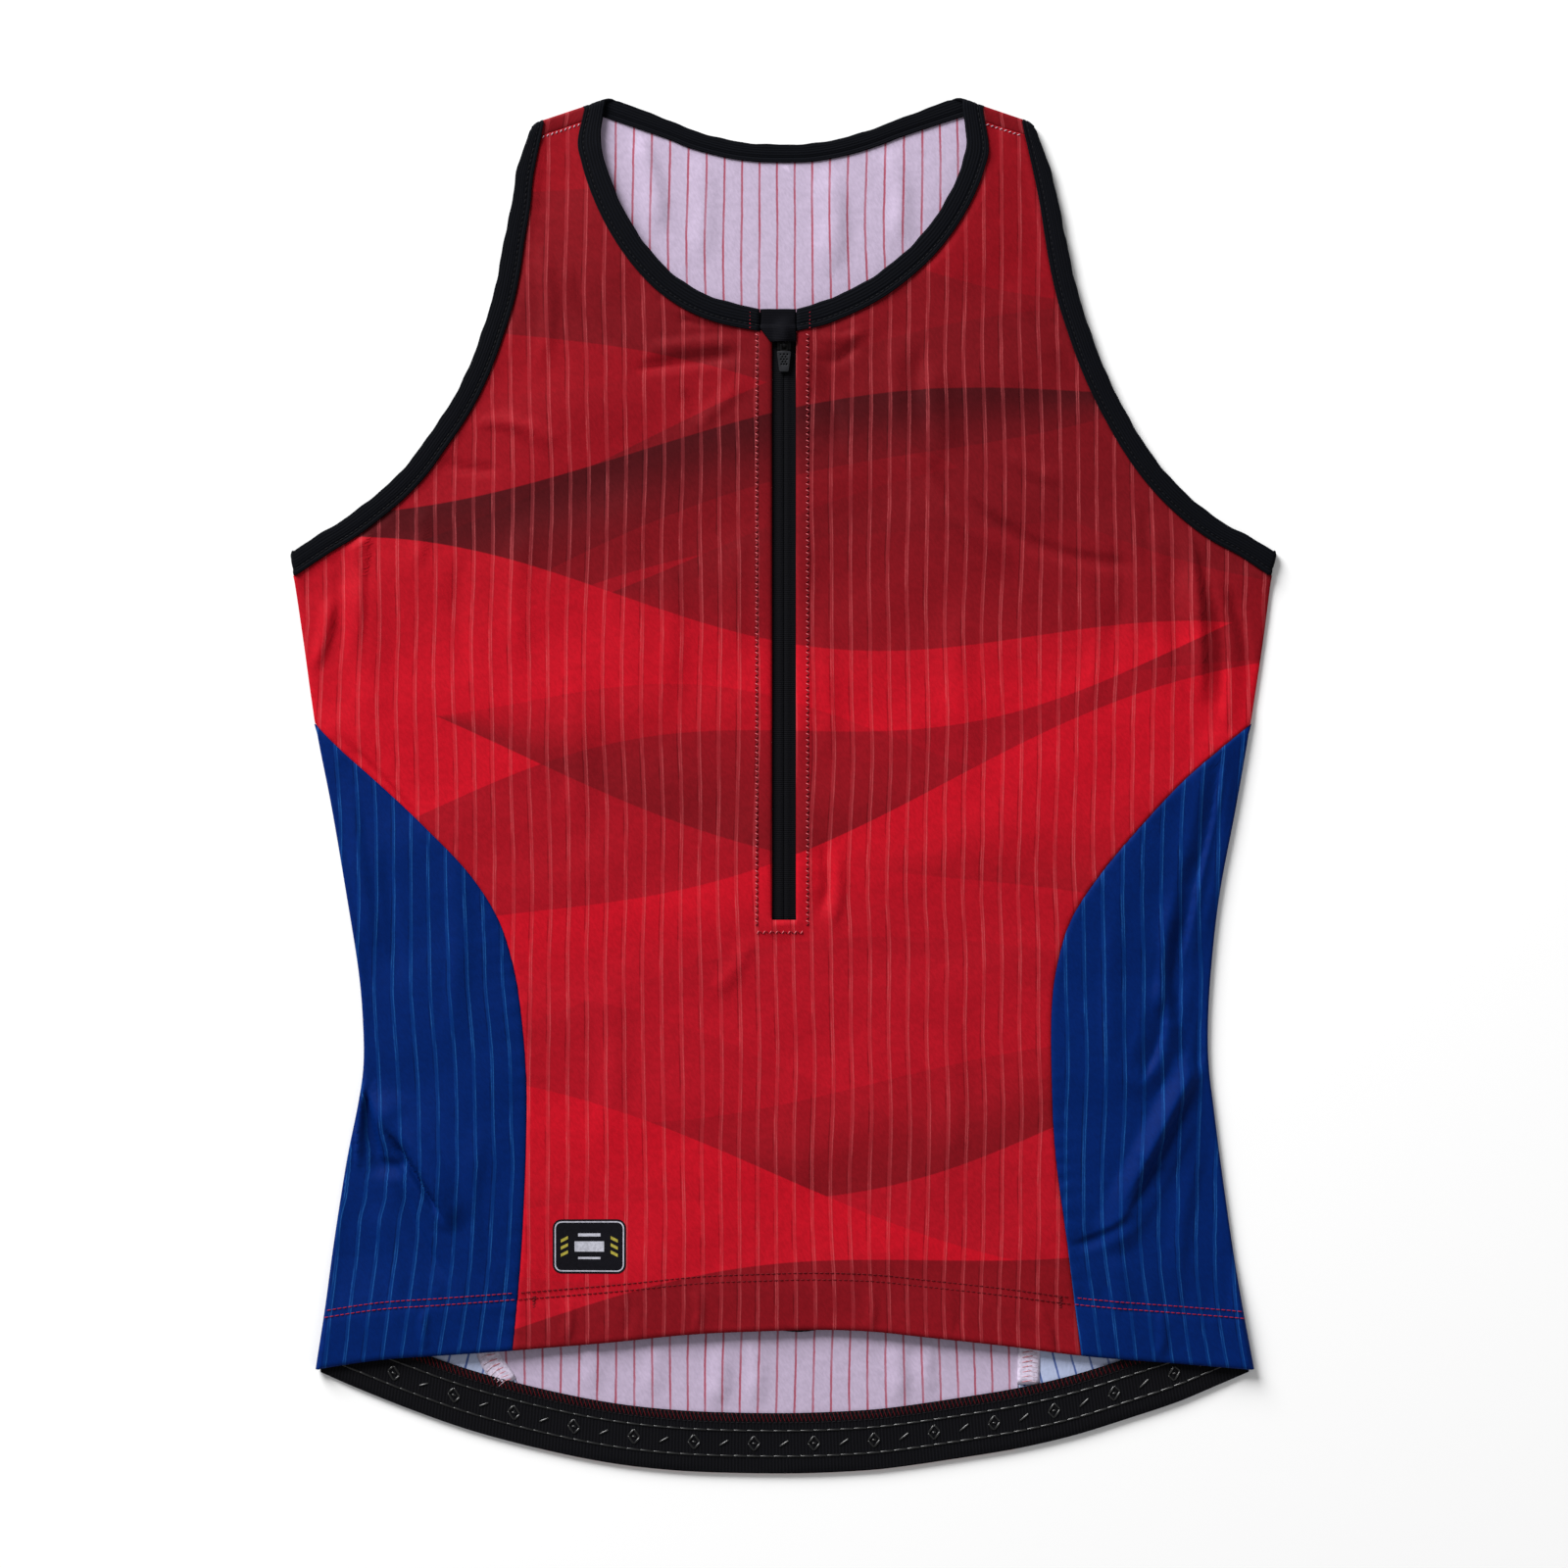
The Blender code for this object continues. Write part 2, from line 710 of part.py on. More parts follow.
def back_half(side):
    """Half of the back panel, with its strap wrapped over the shoulder to the front seam."""
    seam, edge, armhole = red_outer_edge(side, BACK_SEAM, BACK_HEM, BACK_SEAM_HEM_X)
    neck = back_neck_of_panels(side)
    outer = [*seam, *edge, *armhole]
    seam_top, foot = Vector((0.0, SEAM_TOP)), Vector((0.0, FOOT_Y))
    inner = joined(
        straight((0.0, along_table(BACK_HEM, 0.0)), seam_top, SEAM_SPANS),
        straight(seam_top, foot, len(edge) + 1),
        straight(foot, neck[0], ARMHOLE_SPANS_BELOW_NECK),
        neck,
    )
    plan = bend_to_hem(ruled(inner, outer, BACK_COLUMNS), BACK_HEM)
    rows = [[at_level(p, BACK_LEVEL) for p in row] for row in plan]
    strap_arm, strap_neck = strap_on_fold(side)
    ends = straight(strap_neck, strap_arm, BACK_COLUMNS)
    outward = shoulder_outward(side)
    turned = [list(turn(p, outward, CLOTH, SHOULDER_LEVEL, BACK_LEVEL)) for p in ends]
    rows += [[points[i] for points in turned] for i in reversed(range(len(TURN_ANGLES)))]
    rows.append([at_level(p + cloth_tuck(side), SHOULDER_LEVEL) for p in ends])
    reach = SHOULDER_SEAM_DROP - cloth_tuck(side).length - SEAM_GAP
    front_neck, front_arm = front_neck_of_panels(side), armhole_of_panels(side)
    seam_ends = [toward(line[-1], line[-2], reach) for line in (front_neck, front_arm)]
    rows.append([on_front(p) for p in straight(*seam_ends, BACK_COLUMNS)])
    return rows


def back_panel():
    """The back, flat on the ground, with both straps."""
    return sheet("back_panel", [back_half("left"), back_half("right")], CLOTH, "red_print")


def side_panel(side):
    """A blue panel from the front seam round the side to the back seam."""
    outward = Vector((sign_of(side), 0.0))
    shift = sign_of(side) * SEAM_INSET
    front_edge = seam_points(FRONT_SEAM, side, FRONT_HEM, FRONT_SEAM_HEM_X, shift)
    back_edge = seam_points(BACK_SEAM, side, BACK_HEM, BACK_SEAM_HEM_X, shift)
    fold = column_curve(SIDE_FOLD, side)
    outline = between_heights(fold, SIDE_FOLD[-1][0], SEAM_TOP, SEAM_SPANS)
    front_plan, back_plan, turned = [], [], []
    for front, back, edge in zip(front_edge, back_edge, outline):
        top = along_table(EDGE_LEVELS, edge.y)
        start = edge - outward * (CLOTH / 2 + (top - BACK_LEVEL) / 2)
        front_plan.append(straight(front, start, SIDE_FRONT_COLUMNS))
        back_plan.append(straight(start, back, SIDE_BACK_COLUMNS))
        turned.append(list(turn(edge, outward, CLOTH, top, BACK_LEVEL)))
    bend_to_hem(front_plan, FRONT_HEM)
    bend_to_hem(back_plan, BACK_HEM)
    grid = [
        [on_front(p) for p in front] + middle + [at_level(p, BACK_LEVEL) for p in back]
        for front, middle, back in zip(front_plan, turned, back_plan)
    ]
    return sheet(f"side_panel_{side}", [grid], CLOTH, "blue_print")


# ---------------------------------------------------------------- bindings


def across(free, sewn, columns=2):
    return [free.lerp(sewn, i / columns) for i in range(columns + 1)]


def on_binding(points):
    """Lifts a row of a binding on to the front, level across its width."""
    level = front_height(points[-1].x, points[-1].y) + BINDING_RISE
    return [at_level(p, level) for p in points]


def binding_turn(line, outward):
    """The stations of a binding round a fold, from the front to the back."""
    top = along_table(EDGE_LEVELS, line[0].y) + BINDING_RISE
    turned = [list(turn(p, outward, BINDING, top, BINDING_BACK_LEVEL)) for p in line]
    return [[points[i] for points in turned] for i in range(len(TURN_ANGLES))]


def binding_tuck(outward):
    """From a binding's outline to where it starts to turn."""
    radius = (SHOULDER_LEVEL + BINDING_RISE - BINDING_BACK_LEVEL) / 2
    return outward * -(BINDING / 2 + radius)


def armhole_binding(side):
    """A loop of rib round an armhole, turned over at the shoulder and at the foot."""
    free = points_on(armhole_free(side), ARMHOLE_SPANS)
    sewn = points_on(armhole_inside(side), ARMHOLE_SPANS)
    plan = [across(*pair) for pair in zip(free, sewn)]
    foot_outward = Vector((sign_of(side), 0.0))
    shoulder_out = shoulder_outward(side)
    foot = across(armhole_free(side)(0.0), column_curve(SIDE_FOLD, side)(0.0))
    shoulder = across(fold_point(side, 0.0), fold_point(side, ARMHOLE_ON_FOLD))
    plan[0] = [p + binding_tuck(foot_outward) for p in foot]
    plan[-1] = [p + binding_tuck(shoulder_out) for p in shoulder]
    rows = [on_binding(points) for points in plan]
    rows += binding_turn(shoulder, shoulder_out)
    rows += [[at_level(p, BINDING_BACK_LEVEL) for p in points] for points in reversed(plan)]
    rows += reversed(binding_turn(foot, foot_outward))
    return sheet(f"armhole_binding_{side}", [rows], BINDING, "black_rib", closed=True)


def neck_binding():
    """A strip of rib from the zip round the neck to the zip again."""
    fronts, folds, edges = {}, {}, {}
    for side in ("left", "right"):
        arm, neck = shoulder_line(side)
        fold = across(neck, fold_point(side, (neck - arm).length - NECK_ON_FOLD))
        outward = shoulder_outward(side)
        edge = [p + binding_tuck(outward) for p in fold]
        free, sewn = (points_on(c, NECK_SPANS) for c in (neck_free(side), neck_inside(side)))
        plan = [across(*pair) for pair in zip(free, sewn)]
        for point in plan[0]:
            point.x = plan[0][0].x
        plan[-1] = edge
        fronts[side] = [on_binding(points) for points in plan]
        folds[side] = binding_turn(fold, outward)
        edges[side] = edge
    spans = 2 * BACK_NECK_SPANS
    free, sewn = (points_on(c, spans) for c in (smooth_curve(BACK_NECK), back_neck_inside()))
    back = [across(*pair) for pair in zip(free, sewn)]
    back = [edges["left"], *back[1:-1], edges["right"]]
    rows = fronts["left"] + folds["left"]
    rows += [[at_level(p, BINDING_BACK_LEVEL) for p in points] for points in back]
    rows += [*reversed(folds["right"]), *reversed(fronts["right"])]
    return sheet("neck_binding", [rows], BINDING, "black_rib")


def hem_band():
    """The elastic band inside the hem, all round."""
    heights = [HEM_BAND_INSET + HEM_BAND_HEIGHT * i / BAND_COLUMNS for i in range(BAND_COLUMNS + 1)]
    hem_level = along_table(EDGE_LEVELS, HEM_SIDE)
    back_level, front_level = BACK_LEVEL + LAYER, hem_level - LAYER
    tuck_in = CLOTH / 2 + (hem_level - BACK_LEVEL) / 2
    starts, turned = {}, {}
    for side in ("left", "right"):
        outward = Vector((sign_of(side), 0.0))
        fold = column_curve(SIDE_FOLD, side)
        outline = [fold(share_at_height(fold, HEM_SIDE + h)) for h in heights]
        starts[side] = [p - outward * tuck_in for p in outline]
        points = [
            list(turn(p - outward * LAYER, outward, CLOTH, front_level, back_level))
            for p in outline
        ]
        turned[side] = [[column[i] for column in points] for i in range(len(TURN_ANGLES))]
    front, back = [], []
    for i in range(BAND_STATIONS + 1):
        places = [a.x + (b.x - a.x) * i / BAND_STATIONS for a, b in zip(*starts.values())]
        plan = [Vector((x, along_table(FRONT_HEM, x) + h)) for x, h in zip(places, heights)]
        front.append([on_front(p, -LAYER) for p in plan])
        plan = [Vector((x, along_table(BACK_HEM, x) + h)) for x, h in zip(places, heights)]
        back.append([at_level(p, back_level) for p in plan])
    rows = [*front, *turned["right"], *reversed(back), *reversed(turned["left"])]
    return sheet("hem_band", [rows], CLOTH, "black_elastic", closed=True)


# ---------------------------------------------------------------- zip


def zip_tape(side):
    """One tape, from the middle of the zip to under the front panel."""
    sign = sign_of(side)
    parts_at = SLIDER_FOOT - TAPE_PARTS_BELOW
    run = (parts_at - ZIP_BOTTOM) / TAPE_STATIONS
    heights = [ZIP_BOTTOM - TAPE_BELOW_OPENING]
    heights += [ZIP_BOTTOM + run * i for i in range(TAPE_STATIONS + 1)]
    heights += [SLIDER_FOOT - CHAIN_BELOW_SLIDER, SLIDER_FOOT + SLIDER_LENGTH, ZIP_TOP]
    rows = []
    for y in heights:
        near = SEAM_GAP / 2 if y < SLIDER_FOOT - CHAIN_BELOW_SLIDER else TAPE_PARTING
        places = [near + (TAPE_WIDTH - near) * i / TAPE_COLUMNS for i in range(TAPE_COLUMNS + 1)]
        rows.append([on_front(Vector((sign * x, y)), -LAYER) for x in places])
    return sheet(f"zip_tape_{side}", [rows], CLOTH, "black_tape")


def zip_chain():
    """The closed teeth, which lie under the tapes."""
    level = BODY_LEVEL - LAYER - CLOTH / 2 - SEAM_GAP - CHAIN_THICKNESS / 2
    run = (SLIDER_FOOT - CHAIN_BELOW_SLIDER - ZIP_BOTTOM) / CHAIN_STATIONS
    half = CHAIN_WIDTH / 2
    rows = []
    for i in range(CHAIN_STATIONS + 1):
        y = ZIP_BOTTOM + run * i
        rows.append([Vector((-half, y, level)), Vector((half, y, level))])
    return sheet("zip_chain", [rows], CHAIN_THICKNESS, "dark_plastic")


def extruded(name, outlines, thickness, slot, collection=None):
    """A flat plate from 2D outlines, the later ones holes in the first. It lies in XY."""
    drawing = bpy.data.curves.new(name, "CURVE")
    drawing.dimensions = "2D"
    drawing.fill_mode = "BOTH"
    drawing.extrude = thickness / 2 * MM
    for outline in outlines:
        line = drawing.splines.new("POLY")
        line.points.add(len(outline) - 1)
        line.use_cyclic_u = True
        for point, (x, y) in zip(line.points, outline):
            point.co = (x * MM, y * MM, 0.0, 1.0)
    drawn = bpy.data.objects.new(name + "_drawing", drawing)
    bpy.context.scene.collection.objects.link(drawn)
    graph = bpy.context.evaluated_depsgraph_get()
    mesh = bpy.data.meshes.new_from_object(drawn.evaluated_get(graph))
    bpy.data.objects.remove(drawn)
    welded = bmesh.new()
    welded.from_mesh(mesh)
    bmesh.ops.remove_doubles(welded, verts=welded.verts, dist=WELD * MM)
    welded.to_mesh(mesh)
    welded.free()
    mesh.name = name
    mesh.materials.clear()
    return add_object(name, mesh, slot, collection)


def hinge_level():
    """The hinge's height: the lug's hole clears the slider's upper plate."""
    return slider_levels()[3] + LUG_LIFT + LUG_HOLE_RADIUS


def slider_levels():
    """Lower and upper faces of the slider's lower plate, then of its upper plate."""
    tape = BODY_LEVEL - LAYER
    clear = CLOTH / 2 + SEAM_GAP
    return (
        tape - clear - SLIDER_PLATE,
        tape - clear,
        tape + clear,
        tape + clear + SLIDER_PLATE,
    )


def box(name, low, high, slot, collection=None):
    """A block between two corners."""
    build = bmesh.new()
    bmesh.ops.create_cube(build, size=1.0)
    low, high = Vector(low), Vector(high)
    for vertex in build.verts:
        for axis in range(3):
            vertex.co[axis] = (low[axis] if vertex.co[axis] < 0 else high[axis]) * MM
    mesh = bpy.data.meshes.new(name)
    build.to_mesh(mesh)
    build.free()
    return add_object(name, mesh, slot, collection)


def slider_lug():
    """The ear with a round hole that stands on the slider and carries the pull."""
    pivot = hinge_level()
    sunk = slider_levels()[3] - SLIDER_OVERLAP - pivot
    rim = [(LUG_RADIUS, sunk)]
    for i in range(LUG_ARCS + 1):
        lean = math.pi * i / LUG_ARCS
        rim.append((LUG_RADIUS * math.cos(lean), LUG_RADIUS * math.sin(lean)))
    rim.append((-LUG_RADIUS, sunk))
    hole = []
    for i in range(LUG_ARCS):
        lean = 2 * math.pi * i / LUG_ARCS
        hole.append((LUG_HOLE_RADIUS * math.cos(lean), LUG_HOLE_RADIUS * math.sin(lean)))
    lug = extruded("slider_lug", [rim, hole], LUG_THICKNESS, "dark_metal", CUTTERS)
    lug.rotation_euler = (math.pi / 2, 0.0, math.pi / 2)
    lug.location = Vector((0.0, HINGE_Y, pivot)) * MM
    return lug


def zip_slider():
    """Two plates joined by a web between the tapes, and the lug that carries the pull."""
    low, low_top, high_foot, high = slider_levels()
    half, web = SLIDER_WIDTH / 2, SLIDER_WEB / 2
    foot, head = SLIDER_FOOT, SLIDER_FOOT + SLIDER_LENGTH
    body = box("zip_slider", (-half, foot, high_foot), (half, head, high), "dark_metal")
    web_foot = (-web, foot + SLIDER_OVERLAP, low_top - SLIDER_OVERLAP)
    web_head = (web, head - SLIDER_OVERLAP, high_foot + SLIDER_OVERLAP)
    slider_web = box("slider_web", web_foot, web_head, "dark_metal", CUTTERS)
    plate_foot, plate_head = (-half, foot, low), (half, head, low_top)
    slider_plate = box("slider_plate", plate_foot, plate_head, "dark_metal", CUTTERS)
    for piece in (slider_web, slider_plate, slider_lug()):
        piece.hide_render = True
        piece.display_type = "WIRE"
        join = body.modifiers.new(piece.name, "BOOLEAN")
        join.operation = "UNION"
        join.object = piece
    return body


def zip_pull():
    """The pull tab, hung from the lug by the bar above its window."""
    widths = [(PULL_NECK[0] / 2, PULL_BAR / 2), (PULL_NECK[0] / 2, -PULL_NECK[1])]
    widths.append((PULL_WIDEST[0] / 2, -PULL_WIDEST[1]))
    half, tip = PULL_TIP[0] / 2, -PULL_TIP[1]
    for i in range(PULL_ARCS + 1):
        lean = math.pi / 2 * i / PULL_ARCS
        corner = (half - PULL_CORNER, tip + PULL_CORNER)
        x = corner[0] + PULL_CORNER * math.cos(lean)
        widths.append((x, corner[1] - PULL_CORNER * math.sin(lean)))
    outline = widths + [(-x, y) for x, y in reversed(widths)]
    side, top = PULL_WINDOW[0] / 2, -PULL_BAR / 2
    foot = top - PULL_WINDOW[1]
    window = [(-side, top), (side, top), (side, foot), (-side, foot)]
    pull = extruded("zip_pull", [outline, window], PULL_THICKNESS, "dark_plastic")
    pull.location = Vector((0.0, HINGE_Y, hinge_level())) * MM
    pull.rotation_euler = (PULL_SLOPE, 0.0, 0.0)
    return pull


def zip_garage():
    """The cloth cap over the slider, from the top of the zip down to the hinge."""
    rows = []
    for i in range(GARAGE_STATIONS + 1):
        y = GARAGE_FOOT + (GARAGE_TOP - GARAGE_FOOT) * i / GARAGE_STATIONS
        left = along_table(GARAGE_LEFT, y)
        lapped = 1.0 - smoothstep((y - GARAGE_STEP[0]) / GARAGE_STEP[1])
        base = GARAGE_ON_TAPE + (GARAGE_ON_FRONT - GARAGE_ON_TAPE) * lapped
        swell = 1.0 - smoothstep((y - GARAGE_SWELL[0]) / GARAGE_SWELL[1])
        row = []
        for j in range(GARAGE_COLUMNS + 1):
            x = left + (GARAGE_RIGHT - left) * j / GARAGE_COLUMNS
            arch = math.cos(math.pi / 2 * min(abs(x) / (ZIP_OPENING / 2), 1.0)) ** 2
            row.append(Vector((x, y, base + (GARAGE_CROWN - base) * arch * swell)))
        rows.append(row)
    return sheet("zip_garage", [rows], CLOTH, "black_tape")


# ---------------------------------------------------------------- assembly

for old in list(bpy.data.objects):
    bpy.data.objects.remove(old, do_unlink=True)

TOP = bpy.data.collections.new("triathlon_top")
CUTTERS = bpy.data.collections.new("cutters")
bpy.context.scene.collection.children.link(TOP)
bpy.context.scene.collection.children.link(CUTTERS)

back_panel()
front_panel()
hem_band()
neck_binding()
for each_side in ("left", "right"):
    side_panel(each_side)
    armhole_binding(each_side)
    zip_tape(each_side)
zip_chain()
zip_slider()
zip_pull()
zip_garage()
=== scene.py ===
"""The looks of a sleeveless, zip-front triathlon top that lies flat with its front up.

It lies on z = 0 with its neck towards +Y. Sizes here are in millimetres, and MM turns them to
metres where a mesh is made. Each shell is drawn as its middle surface, on the form of the solid
that it stands for. "left" and "right" are the sides as seen from above, so left is at -X.
"""

import math

import bmesh
import bpy
import numpy as np
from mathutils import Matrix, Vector


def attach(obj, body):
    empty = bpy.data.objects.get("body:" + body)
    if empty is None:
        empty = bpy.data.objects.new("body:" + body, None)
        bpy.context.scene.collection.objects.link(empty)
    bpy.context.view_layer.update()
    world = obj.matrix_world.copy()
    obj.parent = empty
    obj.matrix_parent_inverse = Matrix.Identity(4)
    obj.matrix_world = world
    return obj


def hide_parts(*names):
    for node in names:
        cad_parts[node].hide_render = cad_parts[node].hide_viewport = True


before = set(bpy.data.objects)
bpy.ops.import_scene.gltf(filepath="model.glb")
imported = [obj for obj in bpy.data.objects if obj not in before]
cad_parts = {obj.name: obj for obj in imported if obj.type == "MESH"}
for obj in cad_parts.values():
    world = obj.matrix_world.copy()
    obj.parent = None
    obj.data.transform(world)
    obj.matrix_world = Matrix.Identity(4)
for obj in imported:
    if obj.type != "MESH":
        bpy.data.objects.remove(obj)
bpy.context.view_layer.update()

MM = 0.001
SIDES = ("left", "right")

# Walls and levels
WALL = 0.6  # the knit of the panels
STRIP_WALL = 0.5  # the folded strip of the bindings
SOLID_WALL = 1  # wall of the solids, from which their layers are spaced
BINDING = 1.6  # thickness of the solid bindings
SEAM_GAP = 0.3
LAYER = SOLID_WALL + SEAM_GAP  # from the middle of one solid wall to the next
BACK_LEVEL = 0.5
BINDING_BACK_LEVEL = BINDING / 2
BINDING_RISE = 0.4
BODY_LEVEL = 4.7
LOFT_WIDTH = 45  # over which the front rises from its folded edges to BODY_LEVEL
LEAST_FRONT_LEVEL = BACK_LEVEL + LAYER
EDGE_LEVELS = (  # y, level of the front cloth along the folded edges
    (-310, 4.4), (-236, 4.4), (-212, 2.5), (27, 2.5), (36, LEAST_FRONT_LEVEL),
    (86, LEAST_FRONT_LEVEL), (95, 2.5), (310, 2.5),
)
SHOULDER_LEVEL = EDGE_LEVELS[-1][1]
FOLD_CALM = 12  # over which the large folds fade out at the edges

# Outline of the body, where the cloth folds round the sides
SIDE_FOLD = (  # y, left x, right x
    (95, -220.9, 219.6), (66, -216.6, 215.9), (27, -211, 210), (-10, -203.8, 203.6),
    (-50, -197, 196.1), (-85, -191.5, 192.2), (-110, -189.5, 190.9), (-128, -189.5, 191.4),
    (-145, -192, 193.4), (-170, -197, 196.6), (-207, -202.8, 201.8), (-235, -206.5, 206.4),
    (-263, -210.8, 211.6),
)
FRONT_SEAM = (  # y, left x, right x
    (27, -211, 210), (15, -199, 195), (0, -182.2, 178), (-20, -160.8, 159.3), (-40, -141.7, 142.5),
    (-60, -128.7, 129.4), (-80, -122, 123), (-100, -118.4, 120.3), (-130, -115.8, 120.2),
    (-165, -115.9, 121.8), (-205, -117.6, 127), (-235, -120, 130.9), (-262, -122.6, 134.4),
)
BACK_SEAM = (  # y, left x, right x
    (27, -211, 210), (15, -198, 196), (0, -181, 179), (-20, -162, 160), (-40, -145, 143.5),
    (-60, -133, 131), (-80, -127, 124), (-130, -123, 114), (-205, -127, 108), (-250, -130, 106),
    (-270, -120, 105.5), (-310, -108, 105),
)
FRONT_HEM = (  # x, y
    (-212, -263.1), (-182, -258.6), (-152, -256.4), (-122, -254.3), (-80, -250.9), (-42, -247.1),
    (-12, -245.7), (16, -245.1), (40, -245.8), (62, -248.1), (98, -252.1), (134, -256.7),
    (181, -260.5), (213, -263.2),
)
BACK_HEM = (  # x, y
    (-212, -262.8), (-193, -271.2), (-166, -282), (-139, -291.3), (-108, -299.4), (-79, -305.2),
    (-52, -308.4), (-25, -309.8), (6, -310), (35, -308.8), (53, -307), (80, -303), (106, -298.6),
    (131, -292.7), (156, -284.9), (177, -277.9), (194, -270.8), (213, -262.7),
)
HEM_SIDE = SIDE_FOLD[-1][0]  # y of the hem at the side folds
HEM_BAND_HEIGHT = 27
HEM_BAND_INSET = 0.5
HEM_STITCHES = (22.7, 25.7)  # heights of the two rows above the hem
TURN_UP = 27.8  # width of the hem's doubled cloth
DOUBLED = 0.22  # how far the doubled cloth stands out

ARMHOLE = (  # y, left x, right x of the free edge, from the foot to the shoulder
    (104.6, -222.2, 221.9), (109, -214.2, 213), (118.4, -198.4, 195.6), (129.8, -183.5, 181.2),
    (141, -171.2, 170.6), (153, -162.2, 161.7), (170, -150.4, 151.8), (187, -141.6, 143.6),
    (205, -135, 136.9), (223, -129.6, 131.3), (244, -125.8, 126.7), (262, -121.9, 123),
    (277.4, -119.7, 119.2), (289.5, -117.2, 116.2),
)
ARMHOLE_WIDTH = 8.6
ARMHOLE_WIDTH_AT_SHOULDER = 6.6
ARMHOLE_NARROWS_FROM = 0.7  # share of the armhole's length
FOOT_Y = 93.6  # where the panels' armhole leaves the side fold

SHOULDER = {"left": ((-114.2, 296.9), (-76.5, 309.5)), "right": ((113.2, 297.2), (76.2, 309.8))}
ARMHOLE_ON_FOLD = 5.4  # how much of the shoulder fold each binding covers
NECK_ON_FOLD = 13.6
NECK_FOLD_GAP = 0.8
SHOULDER_SEAM_DROP = 7.6

FRONT_NECK = {  # x, y of the free edge, from the zip to the shoulder
    "left": (
        (-10.9, 213), (-31.7, 218.2), (-47.1, 226.6), (-59, 238), (-69.5, 253), (-77.4, 269.7),
        (-82.2, 286.4), (-82.6, 299),
    ),
    "right": (
        (5.6, 213), (18.5, 216.9), (36.5, 225.3), (51.9, 236.5), (63.8, 248.6), (73.9, 263.8),
        (80.7, 280.3), (83, 297),
    ),
}
BACK_NECK = (  # x, y
    (-70.6, 307.6), (-62, 304), (-47.1, 296.3), (-31.7, 291.3), (-16.7, 288.3), (0, 287.6),
    (14, 288.2), (30.8, 291.7), (48.8, 297.9), (63.8, 304.7), (70.4, 308),
)
FRONT_NECK_WIDTH = 9.2
NECK_CORNER_DROP = {"left": 1.4, "right": 0.4}
BACK_NECK_WIDTH = 7.2

# Zip
ZIP_BOTTOM = -61
ZIP_TOP = 212
ZIP_OPENING = 11
ZIP_FOLD = (12.4, 0.28)  # half width and rise of the cloth doubled beside the zip
BELOW_ZIP = 5  # how far that doubled cloth reaches below the zip
TAPE_WIDTH = 11.2
TAPE_BELOW_OPENING = 4
SLIDER_FOOT = 195
HINGE_Y = 197
HINGE_LEVEL = 5.95
GARAGE_FOOT = 198.4
GARAGE_TOP = 213.2
GARAGE_RIGHT = 5.3
GARAGE_LEFT = ((198.4, -5.9), (201.5, -8.4), (204.5, -10.6), (213.2, -10.6))  # y, x
GARAGE_ON_TAPE = 5.1
GARAGE_ON_FRONT = 6.05
GARAGE_CROWN = 8.15
GARAGE_STEP = (204.4, 2.2)  # y at which it climbs on the front, and over what length
GARAGE_SWELL = (201, 10)  # y at which its crown starts to fall, and over what length

# How finely the shells are divided
FINE = np.array((0, 0.6, 1.4, 2.6, 4.2))  # rows beside an edge, as distances from it
CORNERS = {"armhole": 16, "neck": 14, "back_neck": 14}  # spans of the solids' edges
SEAM_TOP = 23  # y up to which the side panels' seams have their own rows
FRONT_SEAM_HEM_X = 124
BACK_SEAM_HEM_X = 106
FOLD_INSET = 0.3
SEAM_INSET = 0.08

# The largest folds: soft ridges along a straight stretch
FOLDS = (  # x and y of one end, x and y of the other, width, height
    (184, -131, 166, -168, 13, 3.4), (166, -168, 150, -200, 13, 2.6),
    (172, -100, 160, -130, 14, 1.5), (-177, -149, -151, -190, 13, 2.8),
    (196, 14, 177, -72, 15, 1.6), (-188, 84, -186, 40, 14, 1.4), (186, 86, 200, 36, 14, 1.6),
    (56, 190, 64, 146, 18, 1.6), (64, 146, 92, 106, 18, 1.3), (-70, 120, -60, 40, 22, 1.2),
)

